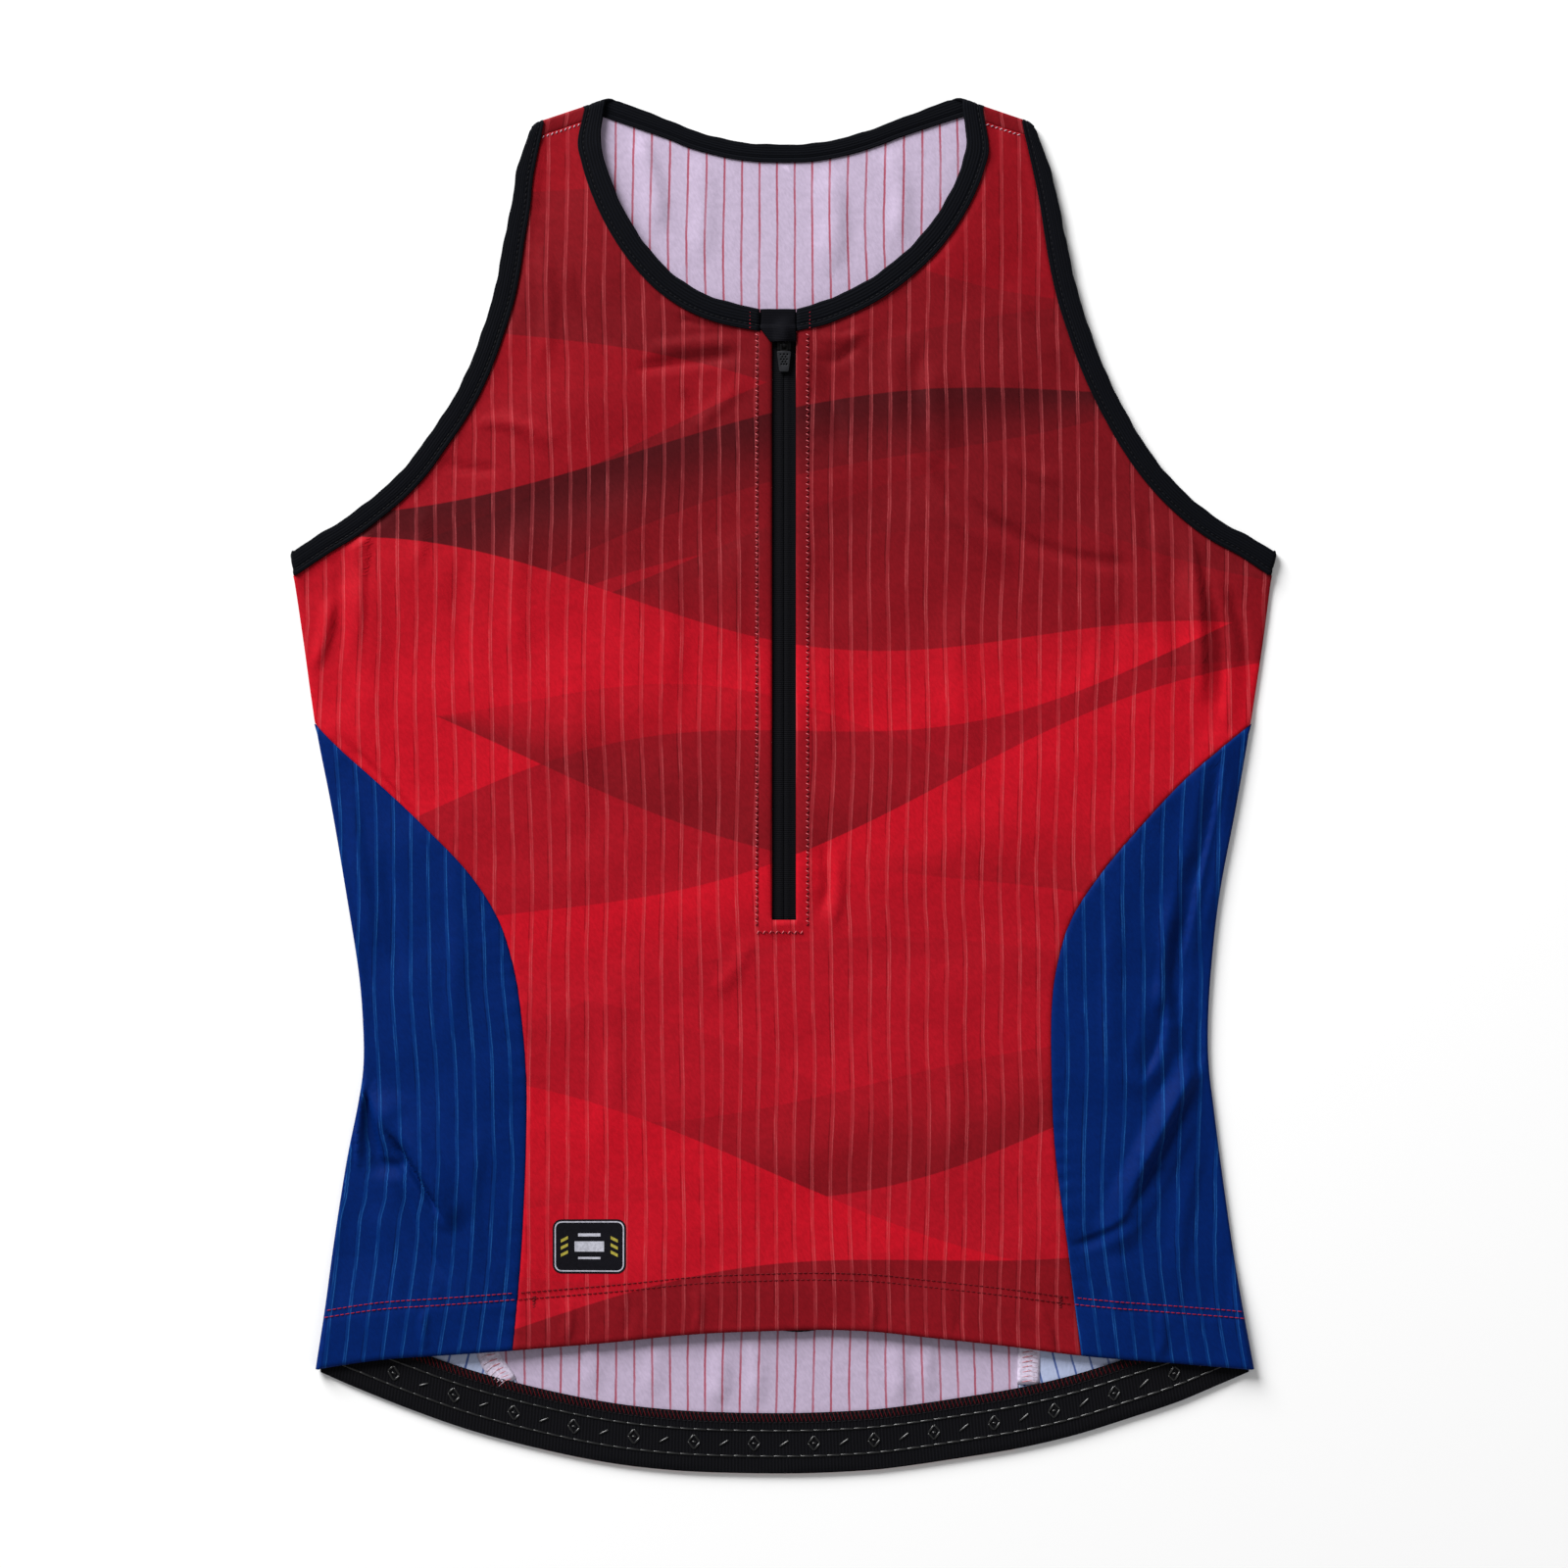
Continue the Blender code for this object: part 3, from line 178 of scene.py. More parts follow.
# Creases of the front: from one end, past a middle point, to the other. A negative height is a
# trough. The widths are those of its left and right flanks, seen from its start.
CREASES = (  # x0, y0, x1, y1, x2, y2, left width, right width, height
    # right waist: the deep slanting fold, its tail and the folds above it
    (188, -130, 173, -158, 152, -198, 9, 2.3, -3), (186, -124, 170, -154, 149, -194, 2.4, 9, 1.5),
    (160, -190, 148, -200, 126, -209, 6, 3, -1.3), (171, -94, 168, -116, 159, -136, 2.6, 11, -2.2),
    (174, -100, 172, -118, 164, -136, 9, 3, 1), (192, -100, 190, -118, 184, -132, 3, 7, -1.6),
    (188, -160, 180, -190, 176, -226, 6, 8, 1),
    # left waist: the pocket at the edge, and the fold that leaves it
    (-190, -130, -186.2, -150, -181, -174, 1.8, 4.2, -2.8),
    (-187, -132, -183.2, -150, -177.5, -170, 12, 2.4, 1.7),
    (-188, -170, -180, -171, -168, -172, 4.5, 8, -1.6),
    (-181, -152, -168, -170.5, -151, -199, 2, 3.6, -3.8),
    (-176, -150, -164, -167.5, -148, -195, 14, 3, 1.2),
    (-174, -174, -165, -198, -150, -226, 3, 7, -1.5),
    (-186, -186, -178, -206, -168, -232, 6, 8, 0.9),
    # right side: long soft folds down the blue panel
    (196.5, 20, 192, -12, 183, -52, 3, 8, -2), (188, -26, 182, -58, 176, -84, 2.8, 9, -1.7),
    (179, -58, 177, -82, 177, -112, 3, 9, -1.7), (204, 8, 199, -30, 190, -78, 3, 7, 1.2),
    # left side
    (-196, 4, -190, -40, -182, -84, 5.4, 7.2, 1.1),
    (-180, -20, -176, -60, -172, -96, 4.5, 5.4, -0.8),
    # under the armholes
    (-188.6, 128, -189.6, 92, -191, 52, 2.2, 9, 1.7), (-202, 86, -206.5, 63, -213, 48, 2.2, 6, 2),
    (-203, 24, -182, 4, -156, -26, 3, 4.5, -1.1), (-198, 108, -199, 84, -197, 50, 3, 6, -0.8),
    (-163, 126, -162, 112, -164, 96, 3, 5, 0.9), (-156, 146, -146, 142, -126, 140, 4, 3, -1),
    (-142, 162, -126, 162, -104, 158, 5, 4, 1), (181, 122, 186.4, 84, 188.9, 32, 2, 8, 2.1),
    (188, 104, 196.5, 64, 195.5, 20, 3.2, 8.5, -2.2), (199, 92, 206.5, 71, 211, 46, 2.2, 5, -2.3),
    (174, 112, 176, 80, 178, 40, 4, 7, -0.9), (164, 128, 163, 112, 166, 92, 4, 5, -0.8),
    # the soft fold from the right of the neck to the armhole, and others on the chest
    (62, 203, 59.5, 172, 68, 142, 5, 11, -1.7), (70, 196, 68, 172, 76, 146, 12, 6, 0.9),
    (63, 156, 82, 126, 116, 104, 6, 11, -1.9), (60, 148, 76, 122, 104, 102, 5, 9, 1),
    (100, 112, 130, 102, 162, 97, 5, 6, -1.1), (98, 150, 112, 140, 128, 136, 6.3, 5.4, 0.9),
    (100, 226, 112, 204, 128, 186, 5.4, 6.3, 0.9),
    (-110, 250, -106, 214, -110, 180, 6.3, 5.4, 0.9),
    (-128, 170, -116, 158, -98, 154, 5.4, 6.3, 0.9),
    (-96, 236, -88, 212, -70, 190, 4.5, 6.3, -0.8),
    # round the top of the zip
    (-15, 193.5, -38, 191, -72, 186, 5, 3, -1.7), (-15, 198, -38, 197, -66, 194, 3, 6, 1.2),
    (-16, 206, -34, 208, -52, 208, 4, 4, -0.8), (-46, 178, -41, 170, -35, 160, 3, 3.5, -1.1),
    (-16, 184, -26, 172, -44, 158, 5, 6, 0.8), (14, 194, 22, 190, 36, 199, 3, 4, -1.2),
    (14, 202, 24, 199, 38, 204, 4, 4, 0.9), (16, 190, 23, 170, 25, 146, 4, 7, -1),
    # beside the zip and below it
    (-17, 120, -22, 90, -19, 56, 4.5, 6.3, 0.8), (16, 80, 20, 40, 17, 4, 5.4, 4.5, 0.8),
    (17, -22, 20, -42, 16, -62, 3.6, 4.5, -1.4), (22, -26, 25, -46, 21, -68, 3.6, 5.4, 1.2),
    (-14, -68, -22, -84, -34, -96, 5.4, 6.3, 0.8), (-56, 120, -50, 80, -54, 30, 10.8, 8.1, 0.9),
    (84, 96, 78, 50, 86, -10, 9.9, 12.6, 0.9), (-100, 60, -92, 20, -96, -30, 12.6, 9, 0.8),
    (-84, -80, -76, -120, -82, -168, 10.8, 9, 0.8), (70, -96, 76, -140, 70, -186, 10.8, 12.6, 0.8),
    (10, -110, 4, -150, 12, -196, 11.7, 9, 0.6),
    # hem
    (38, -226, 40, -236, 38, -247, 2.7, 3.6, 1.1),
    (-40, -224, -38, -236, -40, -248, 3.6, 2.7, 1.1),
    (114, -234, 118, -244, 122, -254, 2.7, 3.6, 1.2),
    (-98, -230, -96, -240, -99, -252, 3.6, 3.6, 0.9),
    (168, -236, 170, -248, 168, -259, 3.6, 3.6, 0.9),
    (-160, -234, -162, -246, -160, -256, 3.6, 3.6, 0.9),
    (78, -228, 79, -238, 77, -249, 3.6, 3.6, -0.6),
    (-70, -228, -69, -238, -71, -249, 3.6, 3.6, -0.6),
    # more folds where the side panels hang free
    (183, -30, 179, -80, 177, -124, 5, 7, -1), (174, -44, 170, -84, 166, -112, 6, 4, 0.9),
    (-150, -14, -146, -70, -150, -120, 9, 7, 0.8), (-136, -150, -140, -190, -136, -226, 6, 8, 0.8),
    (150, -40, 146, -90, 148, -150, 8, 6, 0.7), (148, -210, 152, -226, 150, -240, 5, 6, 0.8),
    (-112, 126, -120, 90, -118, 40, 8, 10, 0.8), (-142, 110, -146, 80, -142, 44, 6, 8, -0.7),
    (132, 104, 140, 70, 138, 30, 8, 6, 0.8), (150, 116, 152, 88, 150, 60, 5, 6, -0.8),
)

# Creases that run along the outline itself
RIMS = (  # x0, y0, x1, y1, x2, y2, left width, right width, height
    (-188.2, -128, -191.4, -150, -192, -176, 4.6, 1.6, 2.1),
)

# Creases of the back. It lies on the ground, so they all rise. The first rows show in the neck
# opening, the next below the front hem, and the rest from below.
BACK_CREASES = (  # x0, y0, x1, y1, x2, y2, left width, right width, height
    (18, 280, 24, 256, 20, 226, 7, 12, 1.6), (44, 288, 52, 268, 50, 240, 8, 6, 1.2),
    (-66, 296, -58, 270, -54, 246, 5, 9, 1.8), (-40, 286, -36, 262, -38, 232, 8, 7, 0.9),
    (-30, -250, -28, -268, -33, -284, 6, 8, 1.6), (-18, -246, -12, -264, -16, -282, 7, 5, 1.2),
    (46, -250, 52, -266, 50, -280, 7, 6, 1.5), (66, -250, 64, -264, 68, -276, 5, 7, 1.1),
    (-90, -250, -86, -262, -90, -274, 6, 6, 1.1), (-60, -250, -58, -262, -62, -278, 6, 7, 0.9),
    (120, 130, 96, 110, 80, 74, 8, 10, 0.7), (-124, 128, -100, 104, -88, 66, 9, 7, 0.7),
    (-30, 160, -24, 110, -34, 50, 10, 9, 0.6), (40, 150, 34, 96, 42, 30, 9, 11, 0.6),
    (-176, -96, -150, -118, -112, -122, 5, 9, 0.8),
    (-178, -120, -148, -146, -106, -150, 7, 5, 0.7), (178, -100, 152, -124, 116, -130, 9, 5, 0.8),
    (180, -126, 150, -152, 108, -158, 5, 8, 0.7), (-60, -40, -52, -100, -62, -160, 11, 9, 0.6),
    (62, -60, 70, -110, 60, -170, 9, 11, 0.6), (4, -90, -2, -150, 6, -210, 10, 9, 0.5),
    (-150, -190, -154, -220, -150, -250, 7, 6, 0.6), (146, -196, 150, -226, 144, -256, 6, 8, 0.6),
)

SWELLS = (  # wavelength, angle in degrees, phase, height of the broad waves of the front
    (97, 12, 0.4, 0.28), (71, 74, 2.1, 0.22), (53, 131, 4, 0.2), (38, 38, 1.3, 0.13),
    (29, 103, 5.2, 0.09),
)


# ---- lines


def sign_of(side):
    return -1 if side == "left" else 1


def smooth(share):
    """Runs softly from 0 to 1 as share does."""
    share = np.clip(share, 0, 1)
    return share * share * (3 - 2 * share)


def along_table(rows, key):
    """The value of a two-column table at key, in a straight line between its rows."""
    rows = np.array(rows)
    return np.interp(key, rows[:, 0], rows[:, 1])


def curve(points, steps=12):
    """A dense line on a smooth curve through the points."""
    points = np.array(points, float)
    points = np.vstack([2 * points[0] - points[1], points, 2 * points[-1] - points[-2]])
    t = np.linspace(0, 1, steps, endpoint=False)[:, None]
    runs = []
    for before, start, stop, after in zip(points, points[1:], points[2:], points[3:]):
        bend = 2 * before - 5 * start + 4 * stop - after
        turn = 3 * start - before - 3 * stop + after
        runs.append(0.5 * (2 * start + (stop - before) * t + bend * t**2 + turn * t**3))
    return np.vstack([*runs, points[-2:-1]])


def marks_of(line):
    """How far along the line each of its points lies."""
    return np.concatenate([[0], np.cumsum(np.linalg.norm(np.diff(line, axis=0), axis=1))])


def length_of(line):
    return marks_of(line)[-1]


def at(line, distances):
    """The points of a line at distances along it."""
    marks = marks_of(line)
    return np.stack([np.interp(distances, marks, column) for column in line.T], axis=-1)


def spread(line, spans, start=0, stop=1):
    """Evenly spaced points of a line between two shares of its length."""
    return at(line, np.linspace(start, stop, spans + 1) * length_of(line))


def stations(length, spans, fine_start=False, fine_stop=False):
    """Distances from 0 to each length, with fine steps beside the ends that ask for them."""
    length = np.atleast_1d(length).astype(float)[:, None]
    fine = FINE * np.clip(length / 30, 0, 1)
    start = fine if fine_start else fine[:, :1]
    stop = (fine if fine_stop else fine[:, :1])[:, ::-1]
    share = np.linspace(0, 1, spans + 1)[1:-1]
    middle = start[:, -1:] + (length - start[:, -1:] - stop[:, :1]) * share
    return np.hstack([start, middle, length - stop])


def rows_on(runs, fine_start=False, fine_stop=False):
    """Points along several lines end to end; each run is a line and its number of spans."""
    parts = []
    for number, (line, spans) in enumerate(runs):
        first, last = number == 0, number == len(runs) - 1
        places = stations(length_of(line), spans, fine_start and first, fine_stop and last)[0]
        parts.append(at(line, places)[0 if first else 1 :])
    return np.vstack(parts)


def unit_rows(rows):
    return rows / np.linalg.norm(rows, axis=1, keepdims=True)


def straight(start, stop):
    return np.array([start, stop], float)


def beside(line, distance):
    """A line to the left of another as it runs, or to its right for a negative distance."""
    ahead = np.gradient(line, axis=0)
    normal = unit_rows(np.stack([-ahead[:, 1], ahead[:, 0]], axis=-1))
    return line + normal * np.broadcast_to(distance, len(line))[:, None]


def column(table, side):
    """The curve of one side of a table whose rows are y, left x, right x."""
    return curve([(row[1 if side == "left" else 2], row[0]) for row in table])


def share_at(line, y):
    """The share of its length at which a line that runs steadily down passes y."""
    return float(np.interp(-y, -line[:, 1], marks_of(line)) / length_of(line))


def part_between(line, low_y, high_y):
    """The stretch of a falling line from low_y up to high_y."""
    return spread(line, 150, share_at(line, low_y), share_at(line, high_y))


def shortened(line, distance):
    """The line without a stretch of its end."""
    whole = length_of(line)
    return at(line, np.linspace(0, whole - distance, len(line)))


BLOCK = 4000  # points whose distances are worked out at once


def gaps(cloud, flat, least):
    """least, as min or argmin, of the squared distances from each point to a set of points."""
    parts = []
    for start in range(0, len(flat), BLOCK):
        offset = flat[start : start + BLOCK, None] - cloud
        parts.append(least(offset[..., 0] ** 2 + offset[..., 1] ** 2, axis=1))
    return np.concatenate(parts)


def distance_to(cloud, points):
    """Distance from points to the nearest of a set of points."""
    return np.sqrt(gaps(cloud, points.reshape(-1, 2), np.min)).reshape(points.shape[:-1])


def nearest(line, points):
    """Distance from points to a line, the place along it, and +1 to its left or -1."""
    line = at(line, np.arange(0, length_of(line), 1.5))
    marks, ahead = marks_of(line), np.gradient(line, axis=0)
    flat = points.reshape(-1, 2)
    best = gaps(line, flat, np.argmin)
    offset = flat - line[best]
    away = np.linalg.norm(offset, axis=1)
    turn = ahead[best, 0] * offset[:, 1] - ahead[best, 1] * offset[:, 0]
    side = np.where(turn >= 0, 1, -1)
    shape = points.shape[:-1]
    return away.reshape(shape), marks[best].reshape(shape), side.reshape(shape)


# ---- outlines


def shoulder_line(side):
    return [np.array(p) for p in SHOULDER[side]]


def shoulder_outward(side):
    """The level direction out of the shoulder fold."""
    arm, neck = shoulder_line(side)
    along = (neck - arm) / np.linalg.norm(neck - arm)
    outward = np.array((-along[1], along[0]))
    return outward if outward[1] > 0 else -outward


def fold_point(side, from_arm):
    arm, neck = shoulder_line(side)
    return arm + (neck - arm) / np.linalg.norm(neck - arm) * from_arm


def shoulder_width(side):
    arm, neck = shoulder_line(side)
    return np.linalg.norm(neck - arm)


def strap_on_fold(side):
    """The ends of the panels' strap on the shoulder fold, at the armhole and at the neck."""
    neck_end = shoulder_width(side) - NECK_ON_FOLD - NECK_FOLD_GAP
    return fold_point(side, ARMHOLE_ON_FOLD + SEAM_GAP), fold_point(side, neck_end)


def neck_on_fold(side):
    """The ends of the neck binding on the shoulder fold: its free edge and its sewn edge."""
    width = shoulder_width(side)
    return fold_point(side, width), fold_point(side, width - NECK_ON_FOLD)


def armhole_on_fold(side):
    return fold_point(side, 0), fold_point(side, ARMHOLE_ON_FOLD)


def cloth_tuck(side):
    """From the fold to where the cloth's middle starts to turn over it."""
    reach = SOLID_WALL / 2 + (SHOULDER_LEVEL - BACK_LEVEL) / 2
    return -shoulder_outward(side) * reach


def binding_tuck(outward):
    radius = (SHOULDER_LEVEL + BINDING_RISE - BINDING_BACK_LEVEL) / 2
    return -np.array(outward) * (BINDING / 2 + radius)


def armhole_inside(side, extra=0):
    line = column(ARMHOLE, side)
    share = marks_of(line) / length_of(line)
    lost = 1 - ARMHOLE_WIDTH_AT_SHOULDER / ARMHOLE_WIDTH
    narrowing = smooth((share - ARMHOLE_NARROWS_FROM) / (1 - ARMHOLE_NARROWS_FROM))
    return beside(line, sign_of(side) * (ARMHOLE_WIDTH + extra) * (1 - lost * narrowing))


def neck_inside(side, extra=0):
    return beside(curve(FRONT_NECK[side]), -sign_of(side) * (FRONT_NECK_WIDTH + extra))


def armhole_of_panels(side):
    """The panels' armhole edge, from the foot to where the cloth turns over the shoulder."""
    corners = spread(armhole_inside(side, SEAM_GAP), CORNERS["armhole"])
    corners[0] = (column(SIDE_FOLD, side)[0][0] - sign_of(side) * FOLD_INSET, FOOT_Y)
    corners[-1] = strap_on_fold(side)[0] + cloth_tuck(side)
    return curve(corners)


def front_neck_of_panels(side):
    corners = spread(neck_inside(side, SEAM_GAP), CORNERS["neck"])
    corners[0] = (
        sign_of(side) * ZIP_OPENING / 2,
        neck_inside(side)[0][1] - NECK_CORNER_DROP[side],
    )
    corners[-1] = strap_on_fold(side)[1] + cloth_tuck(side)
    return curve(corners)


def back_neck_of_panels(side):
    """The back panel's neck edge, from the middle to the turn over the shoulder."""
    stop = 0 if side == "left" else 1
    inside = beside(curve(BACK_NECK), -(BACK_NECK_WIDTH + SEAM_GAP))
    corners = np.delete(spread(inside, CORNERS["back_neck"] // 2, 0.5, stop), -2, axis=0)
    corners[0][0] = 0
    corners[-1] = strap_on_fold(side)[1] + cloth_tuck(side)
    return curve(corners)


def hem_at(table, x):
    line = curve(table)
    return np.interp(x, line[:, 0], line[:, 1])


def folded_edges():
    """The edges from which the front cloth rises, as one set of points."""
    lines = []
    for side in SIDES:
        lines += [column(SIDE_FOLD, side), armhole_inside(side), straight(*SHOULDER[side])]
    return np.vstack([at(line, np.arange(0, length_of(line), 3)) for line in lines])


FOLDED_EDGES = folded_edges()
NECK_EDGES = {side: front_neck_of_panels(side) for side in SIDES}
SEAMS = {side: column(FRONT_SEAM, side) for side in SIDES}


# ---- relief


def folds(points):
    """How far the largest folds lift the cloth."""
    height = np.zeros(points.shape[:-1])
    for x0, y0, x1, y1, width, rise in FOLDS:
        start, run = np.array((x0, y0)), np.array((x1 - x0, y1 - y0))
        offset = points - start
        share = np.clip(offset @ run / (run @ run), 0, 1)
        away = np.linalg.norm(offset - share[..., None] * run, axis=-1)
        height = np.maximum(height, rise * (1 - smooth(away / width)))
    return height


def creases(points, rows):
    """The sum of the creases of a table, each fading out at its two ends."""
    height = np.zeros(points.shape[:-1])
    for x0, y0, x1, y1, x2, y2, left, right, rise in rows:
        line = curve([(x0, y0), (x1, y1), (x2, y2)])
        reach = max(left, right)
        low, high = line.min(axis=0) - reach, line.max(axis=0) + reach
        near = np.all((points >= low) & (points <= high), axis=-1)
        if not near.any():
            continue
        away, along, side = nearest(line, points[near])
        share = along / length_of(line)
        fade = smooth(np.minimum(share, 1 - share) / 0.3)
        flank = np.where(side > 0, left, right)
        height[near] += rise * fade * (1 - smooth(away / flank))
    return height


def swells(points):
    """The broad low waves of cloth that lies loosely."""
    height = np.zeros(points.shape[:-1])
    for wavelength, angle, phase, rise in SWELLS:
        lean = math.radians(angle)
        across = points[..., 0] * math.cos(lean) + points[..., 1] * math.sin(lean)
        along = points[..., 1] * math.cos(lean) - points[..., 0] * math.sin(lean)
        bend = 0.9 * np.sin(along / wavelength * 2.3 + phase)
        height += rise * np.sin(2 * math.pi * across / wavelength + phase + bend)
    return height


def puckers(points, line, pitch, reach, rise, seed):
    """Uneven little waves across a seam, fading out beside it."""
    away, along, _ = nearest(line, points)
    phase = 2 * math.pi * along / pitch
    phase = phase + 1.6 * np.sin(along / 21 + seed) + 1.1 * np.sin(along / 8.3 + 2 * seed)
    strength = 0.55 + 0.45 * np.sin(along / 27 + 3 * seed)
    return rise * strength * np.sin(phase) * np.exp(-away / reach)


def base_height(points):
    """The middle of the front cloth above the ground, without its finer creases."""
    away = distance_to(FOLDED_EDGES, points)
    edge = along_table(EDGE_LEVELS, points[..., 1])
    rise = smooth(away / LOFT_WIDTH)
    calm = smooth(away / FOLD_CALM)
    return edge + (BODY_LEVEL - edge) * rise + folds(points) * calm


def front_relief(points):
    """The finer creases, swells and puckers of the front."""
    relief = creases(points, CREASES) + swells(points)
    for seed, side in enumerate(SIDES):
        zip_row = straight((sign_of(side) * 11.5, -64), (sign_of(side) * 11.5, 204))
        for line, pitch, reach, rise, phase in (
            (SEAMS[side], 9, 7, 0.22, 0.7),
            (armhole_inside(side), 7.5, 6, 0.2, 2.2),
            (NECK_EDGES[side], 8, 5, 0.17, 4.1),
            (zip_row, 8.5, 5, 0.15, 5.3),
        ):
            relief += puckers(points, line, pitch, reach, rise, seed + phase)
    hem_row = beside(curve(FRONT_HEM), 28)
    relief += puckers(points, hem_row, 10, 9, 0.2, 6.1)
    edge = distance_to(FOLDED_EDGES, points)
    neck = np.minimum(*(nearest(line, points)[0] for line in NECK_EDGES.values()))
    calm = smooth((edge - 1.2) / 4.5) * smooth(neck / 5)
    in_zip = smooth((np.abs(points[..., 0]) - 5) / 8)
    beside_zip = (points[..., 1] > ZIP_BOTTOM - 6) & (points[..., 1] < ZIP_TOP)
    rims = creases(points, RIMS) * smooth((edge - 0.3) / 1.6)
    return relief * calm * np.where(beside_zip, in_zip, 1) + rims


def back_height(points):
    """The middle of the back cloth, which lies on the ground but for its creases."""
    relief = creases(points, BACK_CREASES)
    seam = np.minimum(*(nearest(column(BACK_SEAM, s), points)[0] for s in SIDES))
    x = points[..., 0]
    hem = points[..., 1] - hem_at(BACK_HEM, x)
    calm = smooth(seam / 5) * smooth((hem - HEM_BAND_HEIGHT) / 9)
    edge = distance_to(FOLDED_EDGES, points)
    neck = distance_to(beside(curve(BACK_NECK), -BACK_NECK_WIDTH), points)
    return BACK_LEVEL + relief * calm * smooth(edge / 10) * smooth(neck / 8)


def front_height(points):
    """The middle of the front cloth above the ground, kept clear of the back."""
    least = back_height(points) + WALL + 0.3
    spare = base_height(points) + front_relief(points) - least
    return least + 0.5 * (spare + np.sqrt(spare**2 + 0.3**2))


# ---- meshes


def add_object(name, vertices, faces, materials, uv=None, face_materials=None):
    """A smooth mesh from points in millimetres. uv gives each point's place on the flat cloth."""
    mesh = bpy.data.meshes.new(name)
    mesh.from_pydata((np.asarray(vertices, float) * MM).tolist(), [], faces)
    for material in materials:
        mesh.materials.append(material)
    if uv is not None:
        corners = np.empty(len(mesh.loops), int)
        mesh.loops.foreach_get("vertex_index", corners)
        layer = mesh.uv_layers.new(name="Cloth")
        layer.uv.foreach_set("vector", (np.asarray(uv, float)[corners] * MM).ravel())
    if face_materials is not None:
        mesh.polygons.foreach_set("material_index", np.asarray(face_materials, int))
    mesh.shade_smooth()
    made = bpy.data.objects.new(name, mesh)
    bpy.context.scene.collection.objects.link(made)
    return made


def welded(made, distance=0.02):
    """Joins the points of a mesh that lie on each other."""
    build = bmesh.new()
    build.from_mesh(made.data)
    bmesh.ops.remove_doubles(build, verts=build.verts, dist=distance * MM)
    build.to_mesh(made.data)
    build.free()
    return made


def grid_faces(rows, columns, start=0, flip=False, closed=False):
    """The quads of a grid whose points are stored row by row."""
    faces = []
    for i in range(rows if closed else rows - 1):
        low, high = start + i * columns, start + (i + 1) % rows * columns
        for j in range(columns - 1):
            quad = (low + j, low + j + 1, high + j + 1, high + j)
            faces.append(quad[::-1] if flip else quad)
    return faces


def shell(name, grids, wall, materials, closed=False):
    """A thin wall on one or more grids; each grid is its points, its uv and whether to flip it."""
    vertices, uvs, faces = [], [], []
    start = 0
    for points, uv, flip in grids:
        rows, columns = points.shape[:2]
        faces += grid_faces(rows, columns, start, flip, closed)
        vertices.append(points.reshape(-1, 3))
        uvs.append(uv.reshape(-1, 2))
        start += rows * columns
    made = add_object(name, np.vstack(vertices), faces, materials, np.vstack(uvs))
    welded(made)
    thicken = made.modifiers.new("wall", "SOLIDIFY")
    thicken.thickness = wall * MM
    thicken.offset = 0
    thicken.material_offset = len(materials) - 1
    return made


def with_height(points, height):
    return np.concatenate([points, np.asarray(height)[..., None]], axis=-1)


def ruled(inner, outer, spans, fine_inner, fine_outer, lean=0):
    """A grid straight across from one line to another, with its distances from both."""
    across = outer - inner
    reach = np.linalg.norm(across, axis=1)
    places = stations(reach, spans, fine_inner, fine_outer)
    places += reach[:, None] * lean / math.pi * np.sin(math.pi * places / reach[:, None])
    share = places / reach[:, None]
    grid = inner[:, None] + across[:, None] * share[..., None]
    return grid, places, reach[:, None] - places


def bent_to_hem(grid, table, reach=48):
    """Moves the lowest rows so that the first one lies on the hem's curve."""
    climbed = np.linalg.norm(grid - grid[:1], axis=-1)
    fade = 1 - smooth(climbed / reach)
    lift = hem_at(table, grid[0, :, 0]) - grid[0, :, 1]
    grid[..., 1] += lift[None, :] * fade
    return grid


HEM_ROLL, SEAM_ROLL, BACK_ROLL = (0.7, 1.6), (0.55, 1.8), (0.35, 1.6)  # depth, reach


def rolled(distance, depth, reach):
    """How far a sewn or folded edge dips."""
    return -depth * np.clip(1 - distance / reach, 0, 1) ** 2


# ---- materials


